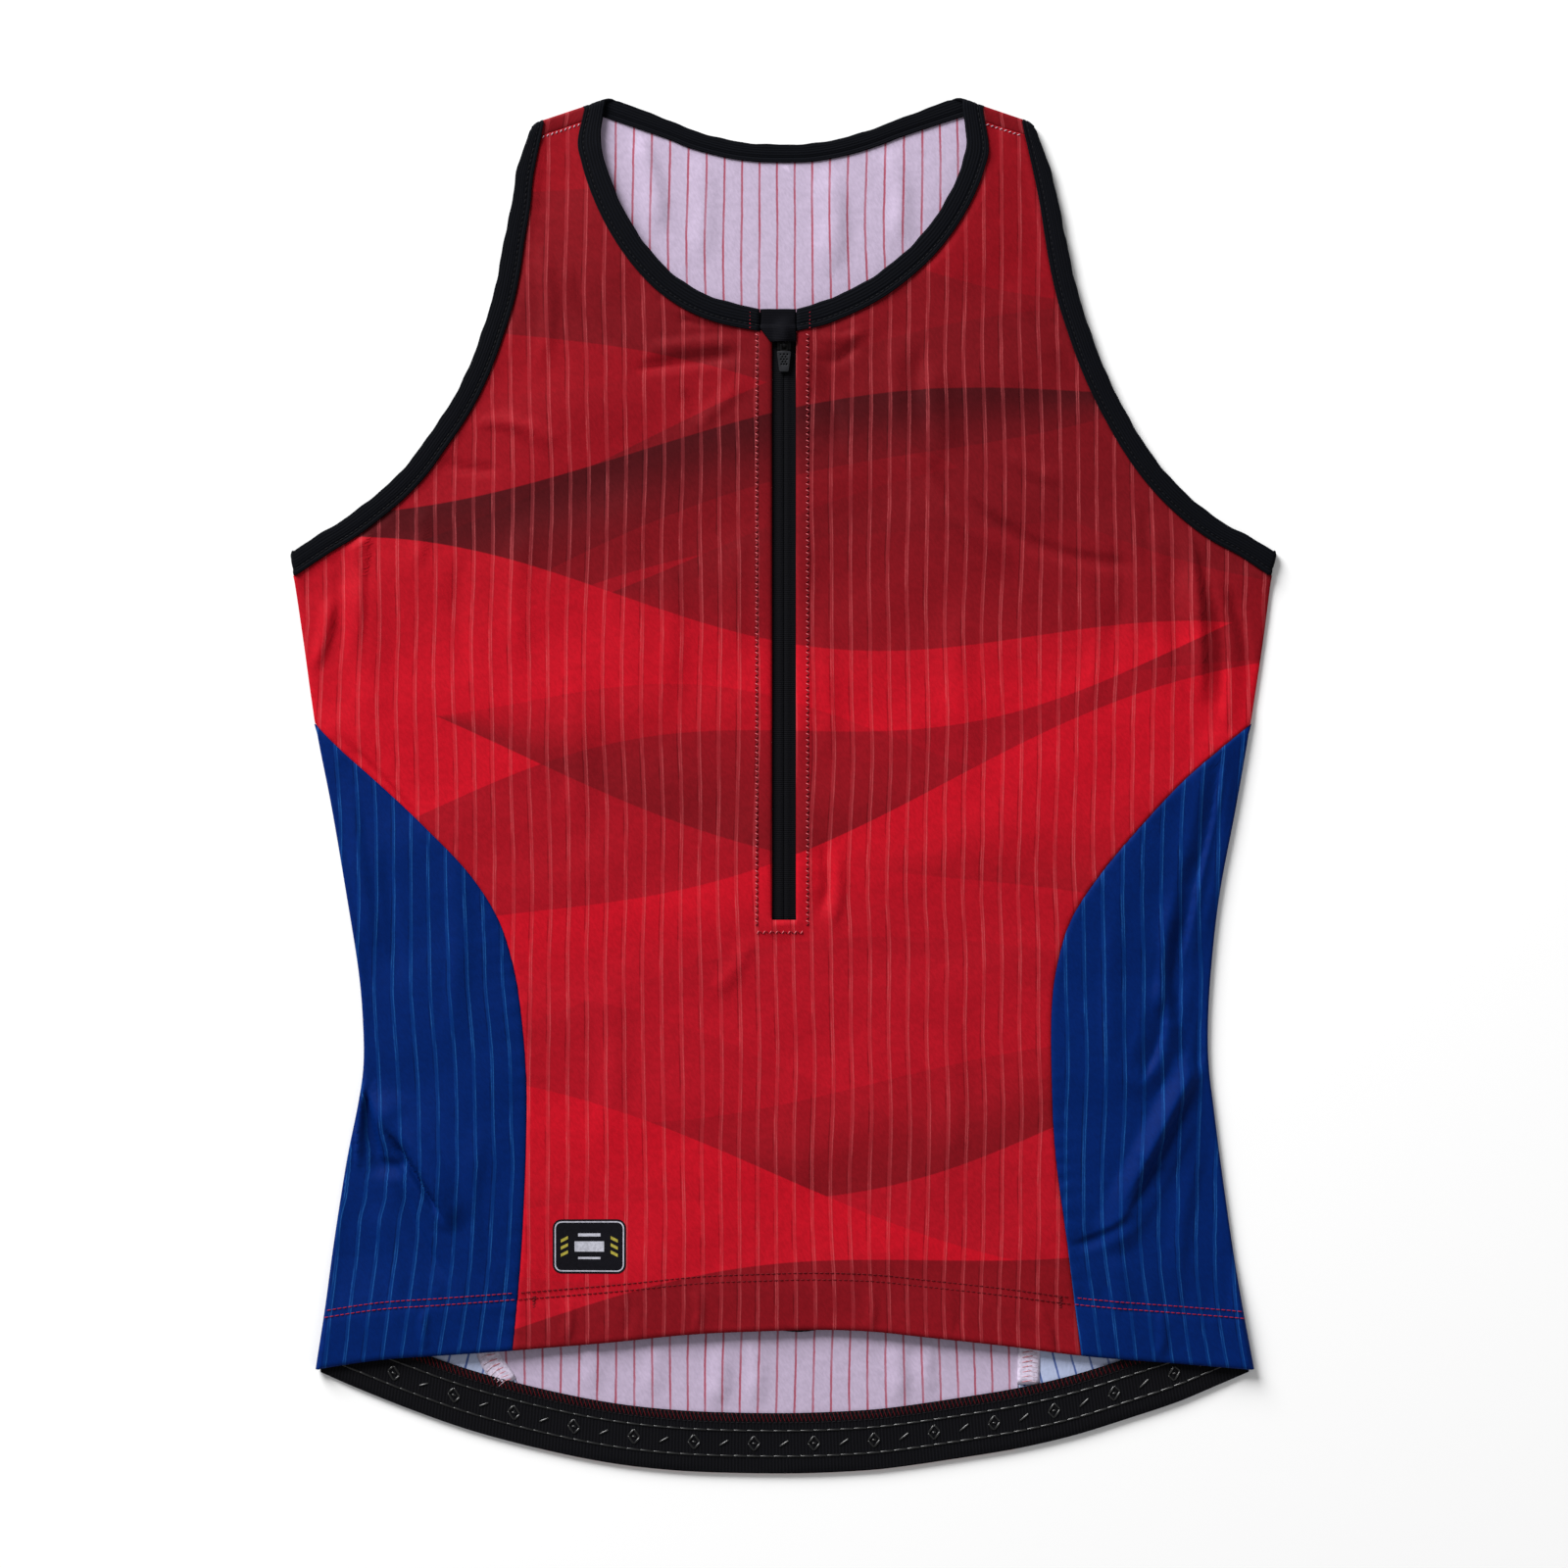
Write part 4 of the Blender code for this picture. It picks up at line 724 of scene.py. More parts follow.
class Shader:
    """A Principled material, and short calls for the nodes that feed it."""

    def __init__(self, name, colour, roughness, specular=0.5):
        self.material = bpy.data.materials.new(name)
        self.material.use_nodes = True
        self.tree = self.material.node_tree
        self.surface = self.tree.nodes["Principled BSDF"]
        self.surface.inputs["Base Color"].default_value = (*colour, 1)
        self.surface.inputs["Roughness"].default_value = roughness
        self.surface.inputs["Specular IOR Level"].default_value = specular

    def node(self, kind, inputs=(), **settings):
        made = self.tree.nodes.new("ShaderNode" + kind)
        for name, value in settings.items():
            setattr(made, name, value)
        for name, value in dict(inputs).items():
            self.feed(made.inputs[name], value)
        return made

    def feed(self, socket, value):
        if isinstance(value, bpy.types.NodeSocket):
            self.tree.links.new(value, socket)
        else:
            socket.default_value = value

    def math(self, operation, *values):
        made = self.node("Math", operation=operation)
        for socket, value in zip(made.inputs, values):
            self.feed(socket, value)
        return made.outputs[0]

    def times(self, *factors):
        return self.math("MULTIPLY", *factors)

    def times_plus(self, value, factor, added):
        return self.math("MULTIPLY_ADD", value, factor, added)

    def vector(self, x, y, z=0):
        return self.node("CombineXYZ", {"X": x, "Y": y, "Z": z}).outputs[0]

    def noise(self, vector, scale, detail=2):
        inputs = {"Vector": vector, "Scale": scale, "Detail": detail}
        return self.node("TexNoise", inputs).outputs[0]

    def step(self, value, low, high):
        """Runs softly from 0 at low to 1 at high."""
        inputs = {"Value": value, "From Min": low, "From Max": high}
        return self.node("MapRange", inputs, interpolation_type="SMOOTHSTEP").outputs[0]

    def mix(self, share, first, second):
        made = self.node("Mix", data_type="RGBA")
        for name, value in (("Factor_Float", share), ("A_Color", first), ("B_Color", second)):
            socket = next(s for s in made.inputs if s.identifier == name)
            colour = isinstance(value, tuple) and len(value) == 3
            self.feed(socket, (*value, 1) if colour else value)
        return next(s for s in made.outputs if s.identifier == "Result_Color")

    def colour(self, socket):
        self.feed(self.surface.inputs["Base Color"], socket)

    def bump(self, height, distance, strength):
        inputs = {"Height": height, "Distance": distance * MM, "Strength": strength}
        made = self.node("Bump", inputs)
        self.feed(self.surface.inputs["Normal"], made.outputs[0])


def srgb(*levels):
    """Linear values of an sRGB colour given in 0 to 255."""
    shares = [level / 255 for level in levels]
    return tuple(c / 12.92 if c <= 0.04045 else ((c + 0.055) / 1.055) ** 2.4 for c in shares)


STRIPE_PITCH = 8.49
INNER_PITCH = 8.1
KNIT_PITCH = 1.1  # of the fine diagonal grain


class Cloth(Shader):
    """A Shader that knows its place on the flat cloth: u across and v along, in millimetres."""

    def __init__(self, name, colour, roughness, specular):
        super().__init__(name, colour, roughness, specular)
        uv = self.node("UVMap", uv_map="Cloth").outputs[0]
        split = self.node("SeparateXYZ", {"Vector": uv})
        self.u, self.v = (self.times(split.outputs[i], 1 / MM) for i in range(2))
        self.place = self.vector(self.u, self.v)

    def pinstripes(self, pitch, drift, roughness):
        """Sets out the stripes: the signed distance from the nearest one, and the rough edge."""
        slow = self.noise(self.place, 0.011, 1)
        quick = self.noise(self.vector(self.u, self.v, 7), 0.13)
        moved = self.times_plus(quick, 0.45, self.times_plus(slow, drift, self.u))
        self.speckle = self.noise(self.vector(self.u, self.times(self.v, 0.6), 3), 1.5)
        self.rough = self.times(self.speckle, roughness)
        self.offset = self.math("WRAP", moved, pitch / 2, -pitch / 2)

    def streak(self, middle, outer, inner):
        """A stripe's mask: 1 within inner of its middle, 0 beyond outer, with a rough edge."""
        away = self.math("ABSOLUTE", self.math("SUBTRACT", self.offset, middle))
        return self.step(self.math("ADD", away, self.rough), outer, inner)

    def patches(self, seed, low, high):
        """Uneven lengths along the stripes where a thread shows."""
        place = self.vector(self.times(self.u, 0.21), self.times(self.v, 0.042), seed)
        return self.step(self.noise(place, 1, 3), low, high)

    def knit_height(self):
        """Fine diagonal grain of the knit, as a height."""
        slant = self.times_plus(self.v, 0.5, self.u)
        fine = self.noise(self.vector(slant, self.times(self.v, 0.45)), 1 / KNIT_PITCH)
        return self.times_plus(self.noise(self.place, 0.22, 3), 0.6, fine)

    def wave(self, base, slope, swing, run, start):
        phase = self.times_plus(self.u, 1 / run, start)
        swung = self.times_plus(self.math("SINE", phase), swing, base)
        return self.times_plus(self.u, slope, swung)

    def wave_print(self):
        """Tonal waves laid over each other, with crisp edges and a fade inside each."""
        colour = self.mix(self.step(self.v, -310, 310), LIFTED_RED, DARK_RED)
        for lower, upper, (weak, strong), tone in BANDS:
            floor, roof = self.wave(*lower), self.wave(*upper)
            above = self.math("SUBTRACT", self.v, floor)
            below = self.math("SUBTRACT", roof, self.v)
            inside = self.step(self.math("MINIMUM", above, below), -0.2, 0.6)
            climb = self.math("DIVIDE", above, self.math("SUBTRACT", roof, floor))
            share = self.times_plus(self.step(climb, 0, 1), strong - weak, weak)
            colour = self.mix(self.times(inside, share), colour, tone)
        return colour


BRIGHT_RED = srgb(192, 16, 34)
LIFTED_RED = srgb(176, 18, 34)
MID_RED = srgb(156, 15, 28)
DARK_RED = srgb(134, 15, 26)
DEEP_RED = srgb(116, 17, 25)
MAROON = srgb(70, 14, 19)

# The print: bands between two waves, base + slope x + swing sin(x / run + start), each with the
# strength of its colour at its lower and its upper wave.
BANDS = (  # lower wave, upper wave, strengths, colour
    ((204, 0.16, 12, 48, 0.3), (460, 0, 0, 50, 0), (0.2, 0.6), MID_RED),
    ((300, 0, 20.2, 60, 1.571), (480, 0, 0, 50, 0), (0.8, 0.8), DEEP_RED),
    ((166, -0.3, 12, 62, 1.9), (246, -0.12, 13, 55, 2.6), (1, 0.6), DEEP_RED),
    ((100, 0.22, 11, 64, 2.2), (172, 0.3, 14, 70, 1), (0.75, 1), DEEP_RED),
    ((128, 0.32, 10, 58, 2), (158, 0.13, 12, 66, 1), (0.35, 0.95), MAROON),
    ((70, -0.12, 16, 70, 4), (112, 0.24, 12, 62, 0.6), (0.4, 0.9), DEEP_RED),
    ((22, 0.22, 13, 54, 3), (78, -0.1, 15, 60, 4.4), (1, 0.7), BRIGHT_RED),
    ((-20, -0.28, 12, 64, 5), (26, -0.1, 15, 52, 2.2), (0.8, 0.25), DEEP_RED),
    ((-88, 0.12, 16, 66, 1.4), (-22, 0.32, 12, 58, 5), (0.2, 1), BRIGHT_RED),
    ((-132, -0.24, 14, 60, 2.8), (-84, -0.06, 12, 47, 0.8), (0.85, 0.35), LIFTED_RED),
    ((-178, 0.22, 13, 56, 3.9), (-136, 0.06, 12, 64, 5.6), (0.8, 0.3), DEEP_RED),
    ((-226, -0.14, 12, 50, 0.7), (-176, -0.26, 11, 61, 3.2), (0.5, 1), BRIGHT_RED),
    ((-340, 0, 0, 50, 0), (-224, 0.16, 10, 57, 2), (0.2, 0.85), DEEP_RED),
)


def printed_knit(name, plain, stripe, thread):
    """The outer face of the knit: in one plain colour, or None for the wave print."""
    cloth = Cloth(name, MID_RED, 0.6, 0.05)
    black = (0, 0, 0)
    height = cloth.knit_height()
    ground = cloth.wave_print() if plain is None else plain
    ground = cloth.mix(cloth.times(cloth.step(height, 0.55, 1.05), 0.16), ground, black)
    cloth.pinstripes(STRIPE_PITCH, 7, 0.5)
    band = cloth.streak(0, 1.3, 0.95)
    flecks = cloth.times_plus(cloth.step(cloth.speckle, 0.38, 0.6), 0.6, 0.4)
    line = cloth.times(cloth.streak(0.42, 0.58, 0.3), flecks)
    line = cloth.times(line, cloth.patches(1, 0.34, 0.58))
    second = cloth.times(cloth.streak(-0.52, 0.56, 0.34), cloth.patches(5, 0.5, 0.66))
    # Painted shadow: a dark broken line beside one edge of each raised stripe, in place of its
    # shade.
    painted_stripe_shadow = cloth.times(cloth.streak(-1.15, 0.75, 0.4), cloth.patches(9, 0.42, 0.62))
    for mask, strength, colour in (
        (band, 0.13, stripe), (second, 0.24, thread), (painted_stripe_shadow, 0.34, black), (line, 0.36, thread)
    ):
        ground = cloth.mix(cloth.times(mask, strength), ground, colour)
    cloth.colour(ground)
    cloth.bump(cloth.times_plus(band, 0.7, height), 0.13, 0.6)
    return cloth.material


def inner_knit(name, ground, line):
    """The pale inner face, with the pinstripe's back showing as a thin line."""
    cloth = Cloth(name, ground, 0.7, 0.15)
    height = cloth.knit_height()
    cloth.pinstripes(INNER_PITCH, 6, 0.3)
    stripe = cloth.streak(0, 0.78, 0.46)
    dull = tuple(c * 0.84 for c in ground)
    colour = cloth.mix(cloth.step(height, 0.45, 1.15), ground, dull)
    share = cloth.times_plus(cloth.patches(2, 0.3, 0.6), 0.25, 0.62)
    cloth.colour(cloth.mix(cloth.times(stripe, share), colour, line))
    cloth.bump(cloth.times_plus(stripe, -0.5, height), 0.12, 0.6)
    return cloth.material


def ribbed_cloth(name, levels, pitch, roughness, depth, across="v"):
    """Dark cloth with fine ribs along it (across="u") or across it (across="v")."""
    colour = srgb(*levels)
    cloth = Cloth(name, colour, roughness, 0.06)
    ribs = cloth.times_plus(cloth.noise(cloth.place, 0.5), 0.35, getattr(cloth, across))
    wave = cloth.math("SINE", cloth.times(ribs, 2 * math.pi / pitch))
    height = cloth.times_plus(wave, 0.5, cloth.noise(cloth.place, 1.6, 3))
    # Painted highlight: where the ribs and the grain rise, the colour is painted up to twice as
    # light, as if lit.
    light = tuple(c * 2 + 0.0008 for c in colour)
    cloth.colour(cloth.mix(cloth.step(height, 0.2, 1.1), colour, light))
    cloth.bump(height, depth, 0.7)
    return cloth.material


def plain_material(name, levels, roughness, bump, scale, specular):
    """A hard or thread surface with a fine uneven grain."""
    colour = srgb(*levels)
    shader = Shader(name, colour, roughness, specular)
    grain = shader.noise(shader.node("TexCoord").outputs["Object"], scale, 3)
    dull = tuple(c * 0.72 for c in colour)
    shader.colour(shader.mix(shader.step(grain, 0.35, 0.7), colour, dull))
    shader.bump(grain, bump, 0.6)
    return shader.material


RED_KNIT = printed_knit("red_knit", None, srgb(200, 78, 86), srgb(216, 104, 108))
BLUE_KNIT = printed_knit("blue_knit", srgb(0, 32, 97), srgb(16, 84, 158), srgb(52, 124, 196))
RED_LINED = inner_knit("pale_inside_red_lines", srgb(190, 174, 199), srgb(156, 48, 68))
BLUE_LINED = inner_knit("pale_inside_blue_lines", srgb(184, 194, 226), srgb(30, 68, 144))
RIB = ribbed_cloth("black_rib", (4, 5, 9), 1.3, 0.8, 0.12, across="u")
TAPE = ribbed_cloth("zip_tape_weave", (6, 6, 9), 0.9, 0.75, 0.1)
GARAGE_CLOTH = ribbed_cloth("garage_cloth", (6, 6, 10), 0.7, 0.85, 0.06)
ELASTIC = ribbed_cloth("elastic", (8, 8, 11), 1.5, 0.75, 0.1)
SILICONE, COIL, LACQUER, PULL_RUBBER, LABEL_DARK, LABEL_PALE, LABEL_YELLOW, SEAM_CLOTH = (
    plain_material(*row)
    for row in (  # name, sRGB levels, roughness, bump, scale of the grain, specular
        ("silicone", (10, 10, 12), 0.32, 0.01, 900, 0.7),
        ("coil", (8, 8, 11), 0.4, 0.03, 900, 0.25),
        ("black_lacquer", (8, 8, 10), 0.4, 0.01, 900, 0.2),
        ("pull_rubber", (37, 38, 42), 0.55, 0.02, 900, 0.2),
        ("label_dark", (15, 14, 21), 0.55, 0.02, 900, 0.1),
        ("label_pale", (188, 188, 200), 0.5, 0.02, 900, 0.2),
        ("label_yellow", (170, 158, 62), 0.5, 0.02, 900, 0.2),
        ("seam_cloth", (214, 202, 224), 0.7, 0.03, 700, 0.15),
    )
)
THREADS = {
    name: plain_material("thread_" + name, levels, 0.65, 0.04, 2600, 0.15)
    for name, *levels in (
        ("black", 15, 15, 20),
        ("red", 168, 24, 46),
        ("dark_red", 108, 12, 22),
        ("pink", 204, 104, 112),
        ("pale", 212, 186, 200),
    )
}


# ---- panels


def panel_seam(table, side, hem, hem_x, shift):
    """A side seam from the hem up to the side panel's tip, moved along X."""
    low = float(hem_at(hem, sign_of(side) * hem_x))
    return part_between(column(table, side), low, SEAM_TOP) + np.array((shift, 0))


def panel_side_edge(side):
    """The red panels' edge at the side, from the side panel's tip to the armhole's foot."""
    inset = np.array((sign_of(side) * FOLD_INSET, 0))
    return part_between(column(SIDE_FOLD, side), FRONT_SEAM[0][0], FOOT_Y) - inset


FRONT_ROWS = {"below_zip": 62, "above": 36, "edge": 24, "low_arm": 50, "neck": 56}
FRONT_SPANS = 88
TO_THE_SIDE = 0.28  # how much closer the columns of the front lie at its sides
FOLDS_TAKE = 0.6  # share of the folds' height that takes up cloth across the print
BACK_ROWS = {"seam": 84, "edge": 20, "arm": 90}
BACK_SPANS = 50
LOW_ARM = 9 / CORNERS["armhole"]  # share of the armhole's length that lies below the neck


def front_half(side):
    """Half of the front, as its points, its uv and whether to flip it."""
    edge_x = sign_of(side) * ZIP_OPENING / 2
    inset = -sign_of(side) * SEAM_INSET
    seam = panel_seam(FRONT_SEAM, side, FRONT_HEM, FRONT_SEAM_HEM_X, inset)
    tuck = np.linalg.norm(cloth_tuck(side))
    armhole = shortened(armhole_of_panels(side), SHOULDER_SEAM_DROP - tuck)
    neck = shortened(front_neck_of_panels(side), SHOULDER_SEAM_DROP - tuck)
    rows = FRONT_ROWS
    split = rows["below_zip"] / (rows["below_zip"] + rows["above"])
    edge = np.vstack([panel_side_edge(side)[:-1], armhole[:1]])
    outer = rows_on(
        (
            (spread(seam, 150, 0, split), rows["below_zip"]),
            (spread(seam, 90, split, 1), rows["above"]),
            (np.vstack([seam[-1:], edge]), rows["edge"]),
            (spread(armhole, 90, 0, LOW_ARM), rows["low_arm"]),
            (spread(armhole, 90, LOW_ARM, 1), rows["neck"]),
        ),
        fine_start=True,
        fine_stop=True,
    )
    hem_y = float(hem_at(FRONT_HEM, 0))
    heights = (hem_y, ZIP_BOTTOM, SEAM_TOP, FOOT_Y, neck[0][1])
    names = ("below_zip", "above", "edge", "low_arm")
    runs = [
        (straight((edge_x, low), (edge_x, high)), rows[name])
        for low, high, name in zip(heights, heights[1:], names)
    ]
    inner = rows_on([*runs, (neck, rows["neck"])], fine_start=True, fine_stop=True)
    grid, from_inner, from_outer = ruled(inner, outer, FRONT_SPANS, True, True, TO_THE_SIDE)
    grid = bent_to_hem(grid, FRONT_HEM)
    height = front_height(grid) + rolled(from_outer, *SEAM_ROLL)
    on_zip = (grid[:, :1, 1] > ZIP_BOTTOM) & (grid[:, :1, 1] < neck[0][1] + 0.1)
    height += np.where(on_zip, rolled(from_inner, 0.6, 1.5), 0)
    doubled = smooth((ZIP_FOLD[0] - np.abs(grid[..., 0])) / 1.2)
    height += ZIP_FOLD[1] * doubled * (grid[..., 1] > ZIP_BOTTOM - BELOW_ZIP)
    below = grid[..., 1] - hem_at(FRONT_HEM, grid[..., 0])
    height += rolled(below, *HEM_ROLL) + hem_relief(below)
    return with_height(grid, height), on_cloth(grid, height), side == "left"


def on_cloth(grid, height):
    """The uv of a grid whose folds take up cloth along X."""
    step = np.diff(grid[..., 0], axis=1)
    longer = np.sign(step) * np.hypot(step, FOLDS_TAKE * np.diff(height, axis=1))
    uv = grid.copy()
    uv[:, 1:, 0] = grid[:, :1, 0] + np.cumsum(longer, axis=1)
    return uv


def hem_relief(below):
    """The hem's doubled cloth, held down by its two rows of stitches."""
    doubled = DOUBLED * smooth((TURN_UP - below) / 2)
    rows = sum(np.exp(-(((below - y) / 1.1) ** 2)) for y in HEM_STITCHES)
    return doubled - 0.3 * rows


def front_cloth():
    halves = [front_half(side) for side in SIDES]
    below = FRONT_ROWS["below_zip"] + len(FINE)
    ends = [half[0][:below, 0] for half in halves]
    share = np.linspace(0, 1, 5)[None, :, None]
    middle = ends[0][:, None] * (1 - share) + ends[1][:, None] * share
    plan = middle[..., :2].copy()
    below_hem = plan[..., 1] - hem_at(FRONT_HEM, plan[..., 0])
    inside = middle[:, 1:-1]
    height = front_height(plan) + rolled(below_hem, *HEM_ROLL) + hem_relief(below_hem)
    height += ZIP_FOLD[1] * (plan[..., 1] > ZIP_BOTTOM - BELOW_ZIP)
    inside[..., 2] = height[:, 1:-1]
    return shell("front_cloth", [*halves, (middle, plan, False)], WALL, [RED_KNIT, RED_LINED])


def turned(ends, outward, wall, top, bottom, angles):
    """Points round a folded edge, one row for each angle; ends is a row of outermost points."""
    radius = (top - bottom) / 2
    outward = np.array(outward)
    rows = []
    for lean in np.radians(angles):
        plan = ends + outward * (radius * math.cos(lean) - radius - wall / 2)
        level = (top + bottom) / 2 + radius * math.sin(lean)
        rows.append(with_height(plan, np.full(len(ends), level)))
    return np.stack(rows)


TURN = np.linspace(75, -75, 11)


def back_half(side):
    """Half of the back, with its strap wrapped over the shoulder to the front seam."""
    seam = panel_seam(BACK_SEAM, side, BACK_HEM, BACK_SEAM_HEM_X, -sign_of(side) * SEAM_INSET)
    armhole, neck = armhole_of_panels(side), back_neck_of_panels(side)
    rows = BACK_ROWS
    edge = np.vstack([seam[-1:], panel_side_edge(side)[:-1], armhole[:1]])
    low = round(rows["arm"] * LOW_ARM)
    high = rows["arm"] - low
    outer = rows_on(
        (
            (seam, rows["seam"]),
            (edge, rows["edge"]),
            (spread(armhole, 90, 0, LOW_ARM), low),
            (spread(armhole, 90, LOW_ARM, 1), high),
        ),
        fine_start=True,
    )
    heights = (float(hem_at(BACK_HEM, 0)), SEAM_TOP, FOOT_Y, neck[0][1])
    runs = [
        (straight((0, start), (0, stop)), spans)
        for start, stop, spans in zip(heights, heights[1:], (rows["seam"], rows["edge"], low))
    ]
    inner = rows_on([*runs, (neck, high)], fine_start=True)
    grid, _, from_outer = ruled(inner, outer, BACK_SPANS, False, True)
    grid = bent_to_hem(grid, BACK_HEM)
    flat = with_height(grid, back_height(grid) - rolled(from_outer, *BACK_ROLL))
    arm_end, neck_end = strap_on_fold(side)
    share = (grid[-1] - grid[-1, 0]) @ (grid[-1, -1] - grid[-1, 0])
    share = share / share[-1]
    ends = neck_end + (arm_end - neck_end) * share[:, None]
    outward = shoulder_outward(side)
    over = turned(ends, outward, SOLID_WALL, SHOULDER_LEVEL, BACK_LEVEL, TURN[::-1])
    reach = SHOULDER_SEAM_DROP - np.linalg.norm(cloth_tuck(side)) - 2 * SEAM_INSET
    front_lines = (front_neck_of_panels(side), armhole_of_panels(side))
    whole = [length_of(line) for line in front_lines]
    strap = []
    for drop in stations(reach, 4, False, True)[0]:
        near, far = (at(line, [span - drop])[0] for line, span in zip(front_lines, whole))
        plan = near + (far - near) * share[:, None]
        strap.append(with_height(plan, front_height(plan) + rolled(reach - drop, 0.5, 1.6)))
    points = np.concatenate([flat, over, np.stack(strap)])
    turn = len(grid) - 1  # from this row on, the cloth climbs round the shoulder
    climb = np.linalg.norm(np.diff(points[turn:], axis=0), axis=-1)
    climb = np.vstack([np.zeros(len(share)), np.cumsum(climb, axis=0)])
    uv = points[..., :2].copy()
    uv[turn:, :, 0] = grid[-1, :, 0]
    uv[turn:, :, 1] = grid[-1, :, 1] + climb
    return points, uv, side == "right"


def back_cloth():
    halves = [back_half(side) for side in SIDES]
    return shell("back_cloth", halves, WALL, [RED_KNIT, RED_LINED])


SIDE_ROWS = ((-213, 27), (-130, 92), (SEAM_TOP, 82))  # y up to which each run of rows reaches
TIP_ROWS = np.array((0.3, 0.55, 0.75, 0.9, 0.98))  # how near each last row lies to the tip
SIDE_SPANS = {"front": 82, "back": 24}
STRIPES_FROM = {  # y, x of the upright line from which the stripes of the side panels are counted
    "left": ((-262, -126), (-215, -120.5), (-170, -118), (-120, -120.5), (-88, -123)),
    "right": ((-262, 129.5), (-240, 126), (-217, 123), (-200, 122)),
}
STRIPES_FAN = {  # y, how much cloth a millimetre of the picture takes up
    "left": ((-262, 0.969), (-88, 1.029)),
    "right": ((-262, 1.035), (-88, 0.97)),
}


def rising_runs(line, runs):
    """A rising line cut at the heights of a table, with the rows of each piece."""
    lows = (float(line[0, 1]), *(y for y, _ in runs))
    falling = line[::-1]
    return [(part_between(falling, low, high), rows) for low, (high, rows) in zip(lows, runs)]


def side_cloth(side):
    """A blue panel from the front seam round the side to the back seam."""
    outward = np.array((sign_of(side), 0))
    shift = sign_of(side) * SEAM_INSET
    front = panel_seam(FRONT_SEAM, side, FRONT_HEM, FRONT_SEAM_HEM_X, shift)
    back = panel_seam(BACK_SEAM, side, BACK_HEM, BACK_SEAM_HEM_X, shift)
    outline = part_between(column(SIDE_FOLD, side), HEM_SIDE, SEAM_TOP)
    front, back, outline = (
        rows_on(rising_runs(line, SIDE_ROWS), fine_start=True) for line in (front, back, outline)
    )
    top = along_table(EDGE_LEVELS, outline[:, 1])
    start = outline - outward * (SOLID_WALL / 2 + (top - BACK_LEVEL) / 2)[:, None]
    plan, from_seam, _ = ruled(front, start, SIDE_SPANS["front"], True, False)
    plan = bent_to_hem(plan, FRONT_HEM)
    below = plan[..., 1] - hem_at(FRONT_HEM, plan[..., 0])
    height = front_height(plan) + rolled(from_seam, *SEAM_ROLL)
    height += rolled(below, *HEM_ROLL) + hem_relief(below) * smooth((TURN_UP - below) / 2)
    upper = with_height(plan, height)
    under_plan, _, to_seam = ruled(start, back, SIDE_SPANS["back"], False, True)
    under_plan = bent_to_hem(under_plan, BACK_HEM)
    lower = with_height(under_plan, back_height(under_plan) - rolled(to_seam, *BACK_ROLL))
    round_ = np.stack(
        [
            turned(edge[None], outward, SOLID_WALL, level, BACK_LEVEL, TURN)[:, 0]
            for edge, level in zip(outline, top)
        ]
    )
    points = np.concatenate([upper, round_, lower], axis=1)
    tip = np.array((column(SIDE_FOLD, side)[0][0], 0, (top[-1] + BACK_LEVEL) / 2))
    tip[:2] = column(FRONT_SEAM, side)[0]
    rest = (1 - TIP_ROWS)[:, None, None]
    points = np.concatenate([points, tip + (points[-1] - tip) * rest])
    steps = np.linalg.norm(np.diff(points, axis=1) * (1, 1, FOLDS_TAKE), axis=-1)
    across = np.hstack([np.zeros((len(points), 1)), np.cumsum(steps, axis=1)])
    uv = points[..., :2].copy()
    seam_y = points[:, :1, 1]
    first = points[:, :1, 0] - along_table(STRIPES_FROM[side], seam_y)
    uv[..., 0] = (first + sign_of(side) * across) * along_table(STRIPES_FAN[side], seam_y)
    return shell(
        f"side_cloth_{side}", [(points, uv, side == "left")], WALL, [BLUE_KNIT, BLUE_LINED]
    )


# ---- bindings


NOSE = 0.55  # radius of the folded strip's free edge, at its middle
LAP = 0.9  # how far the strip laps over the panel's edge


def binding_section(width, spans=15):
    """The folded strip across: distance from the free edge, and height over its middle."""
    s = np.linspace(width + LAP, NOSE, spans + 1)
    puff = 0.1 * np.sin(math.pi * np.clip(s / (width - 1.6), 0, 1))
    groove = 0.24 * np.exp(-(((s - (width - 1.7)) / 0.7) ** 2))
    ribs = 0.04 * np.cos(2 * math.pi * s / 2.1)
    t = NOSE - 0.1 + puff - groove + ribs
    lean = np.radians((45, 0, -45))
    nose_s, nose_t = NOSE - NOSE * np.cos(lean), NOSE * np.sin(lean)
    return np.concatenate([s, nose_s, s[::-1]]), np.concatenate([t, nose_t, -t[::-1]])


def binding_rows(free, sewn, normal, width):
    """Rows of points of a folded strip. free, sewn and normal have a row for each station."""
    s, t = binding_section(width)
    across = unit_rows(sewn - free)
    reach = np.linalg.norm(sewn - free, axis=1)
    along = marks_of(free)
    ripple = 1 + 0.05 * np.sin(along / 1.9) * np.sin(along / 7.7 + 1)
    wobble = 0.14 * np.sin(along / 3.1) + 0.1 * np.sin(along / 1.7 + 2)
    s = s[None] * (reach / width)[:, None] + wobble[:, None] * (s[None] < 2)
    t = t[None] * ripple[:, None]
    points = free[:, None] + across[:, None] * s[..., None] + normal[:, None] * t[..., None]
    turns = np.concatenate([[0], np.cumsum(np.hypot(np.diff(s[0]), np.diff(t[0])))])
    uv = np.stack(np.broadcast_arrays(turns[None], along[:, None]), axis=-1)
    return points, uv


UP = np.array((0, 0, 1))


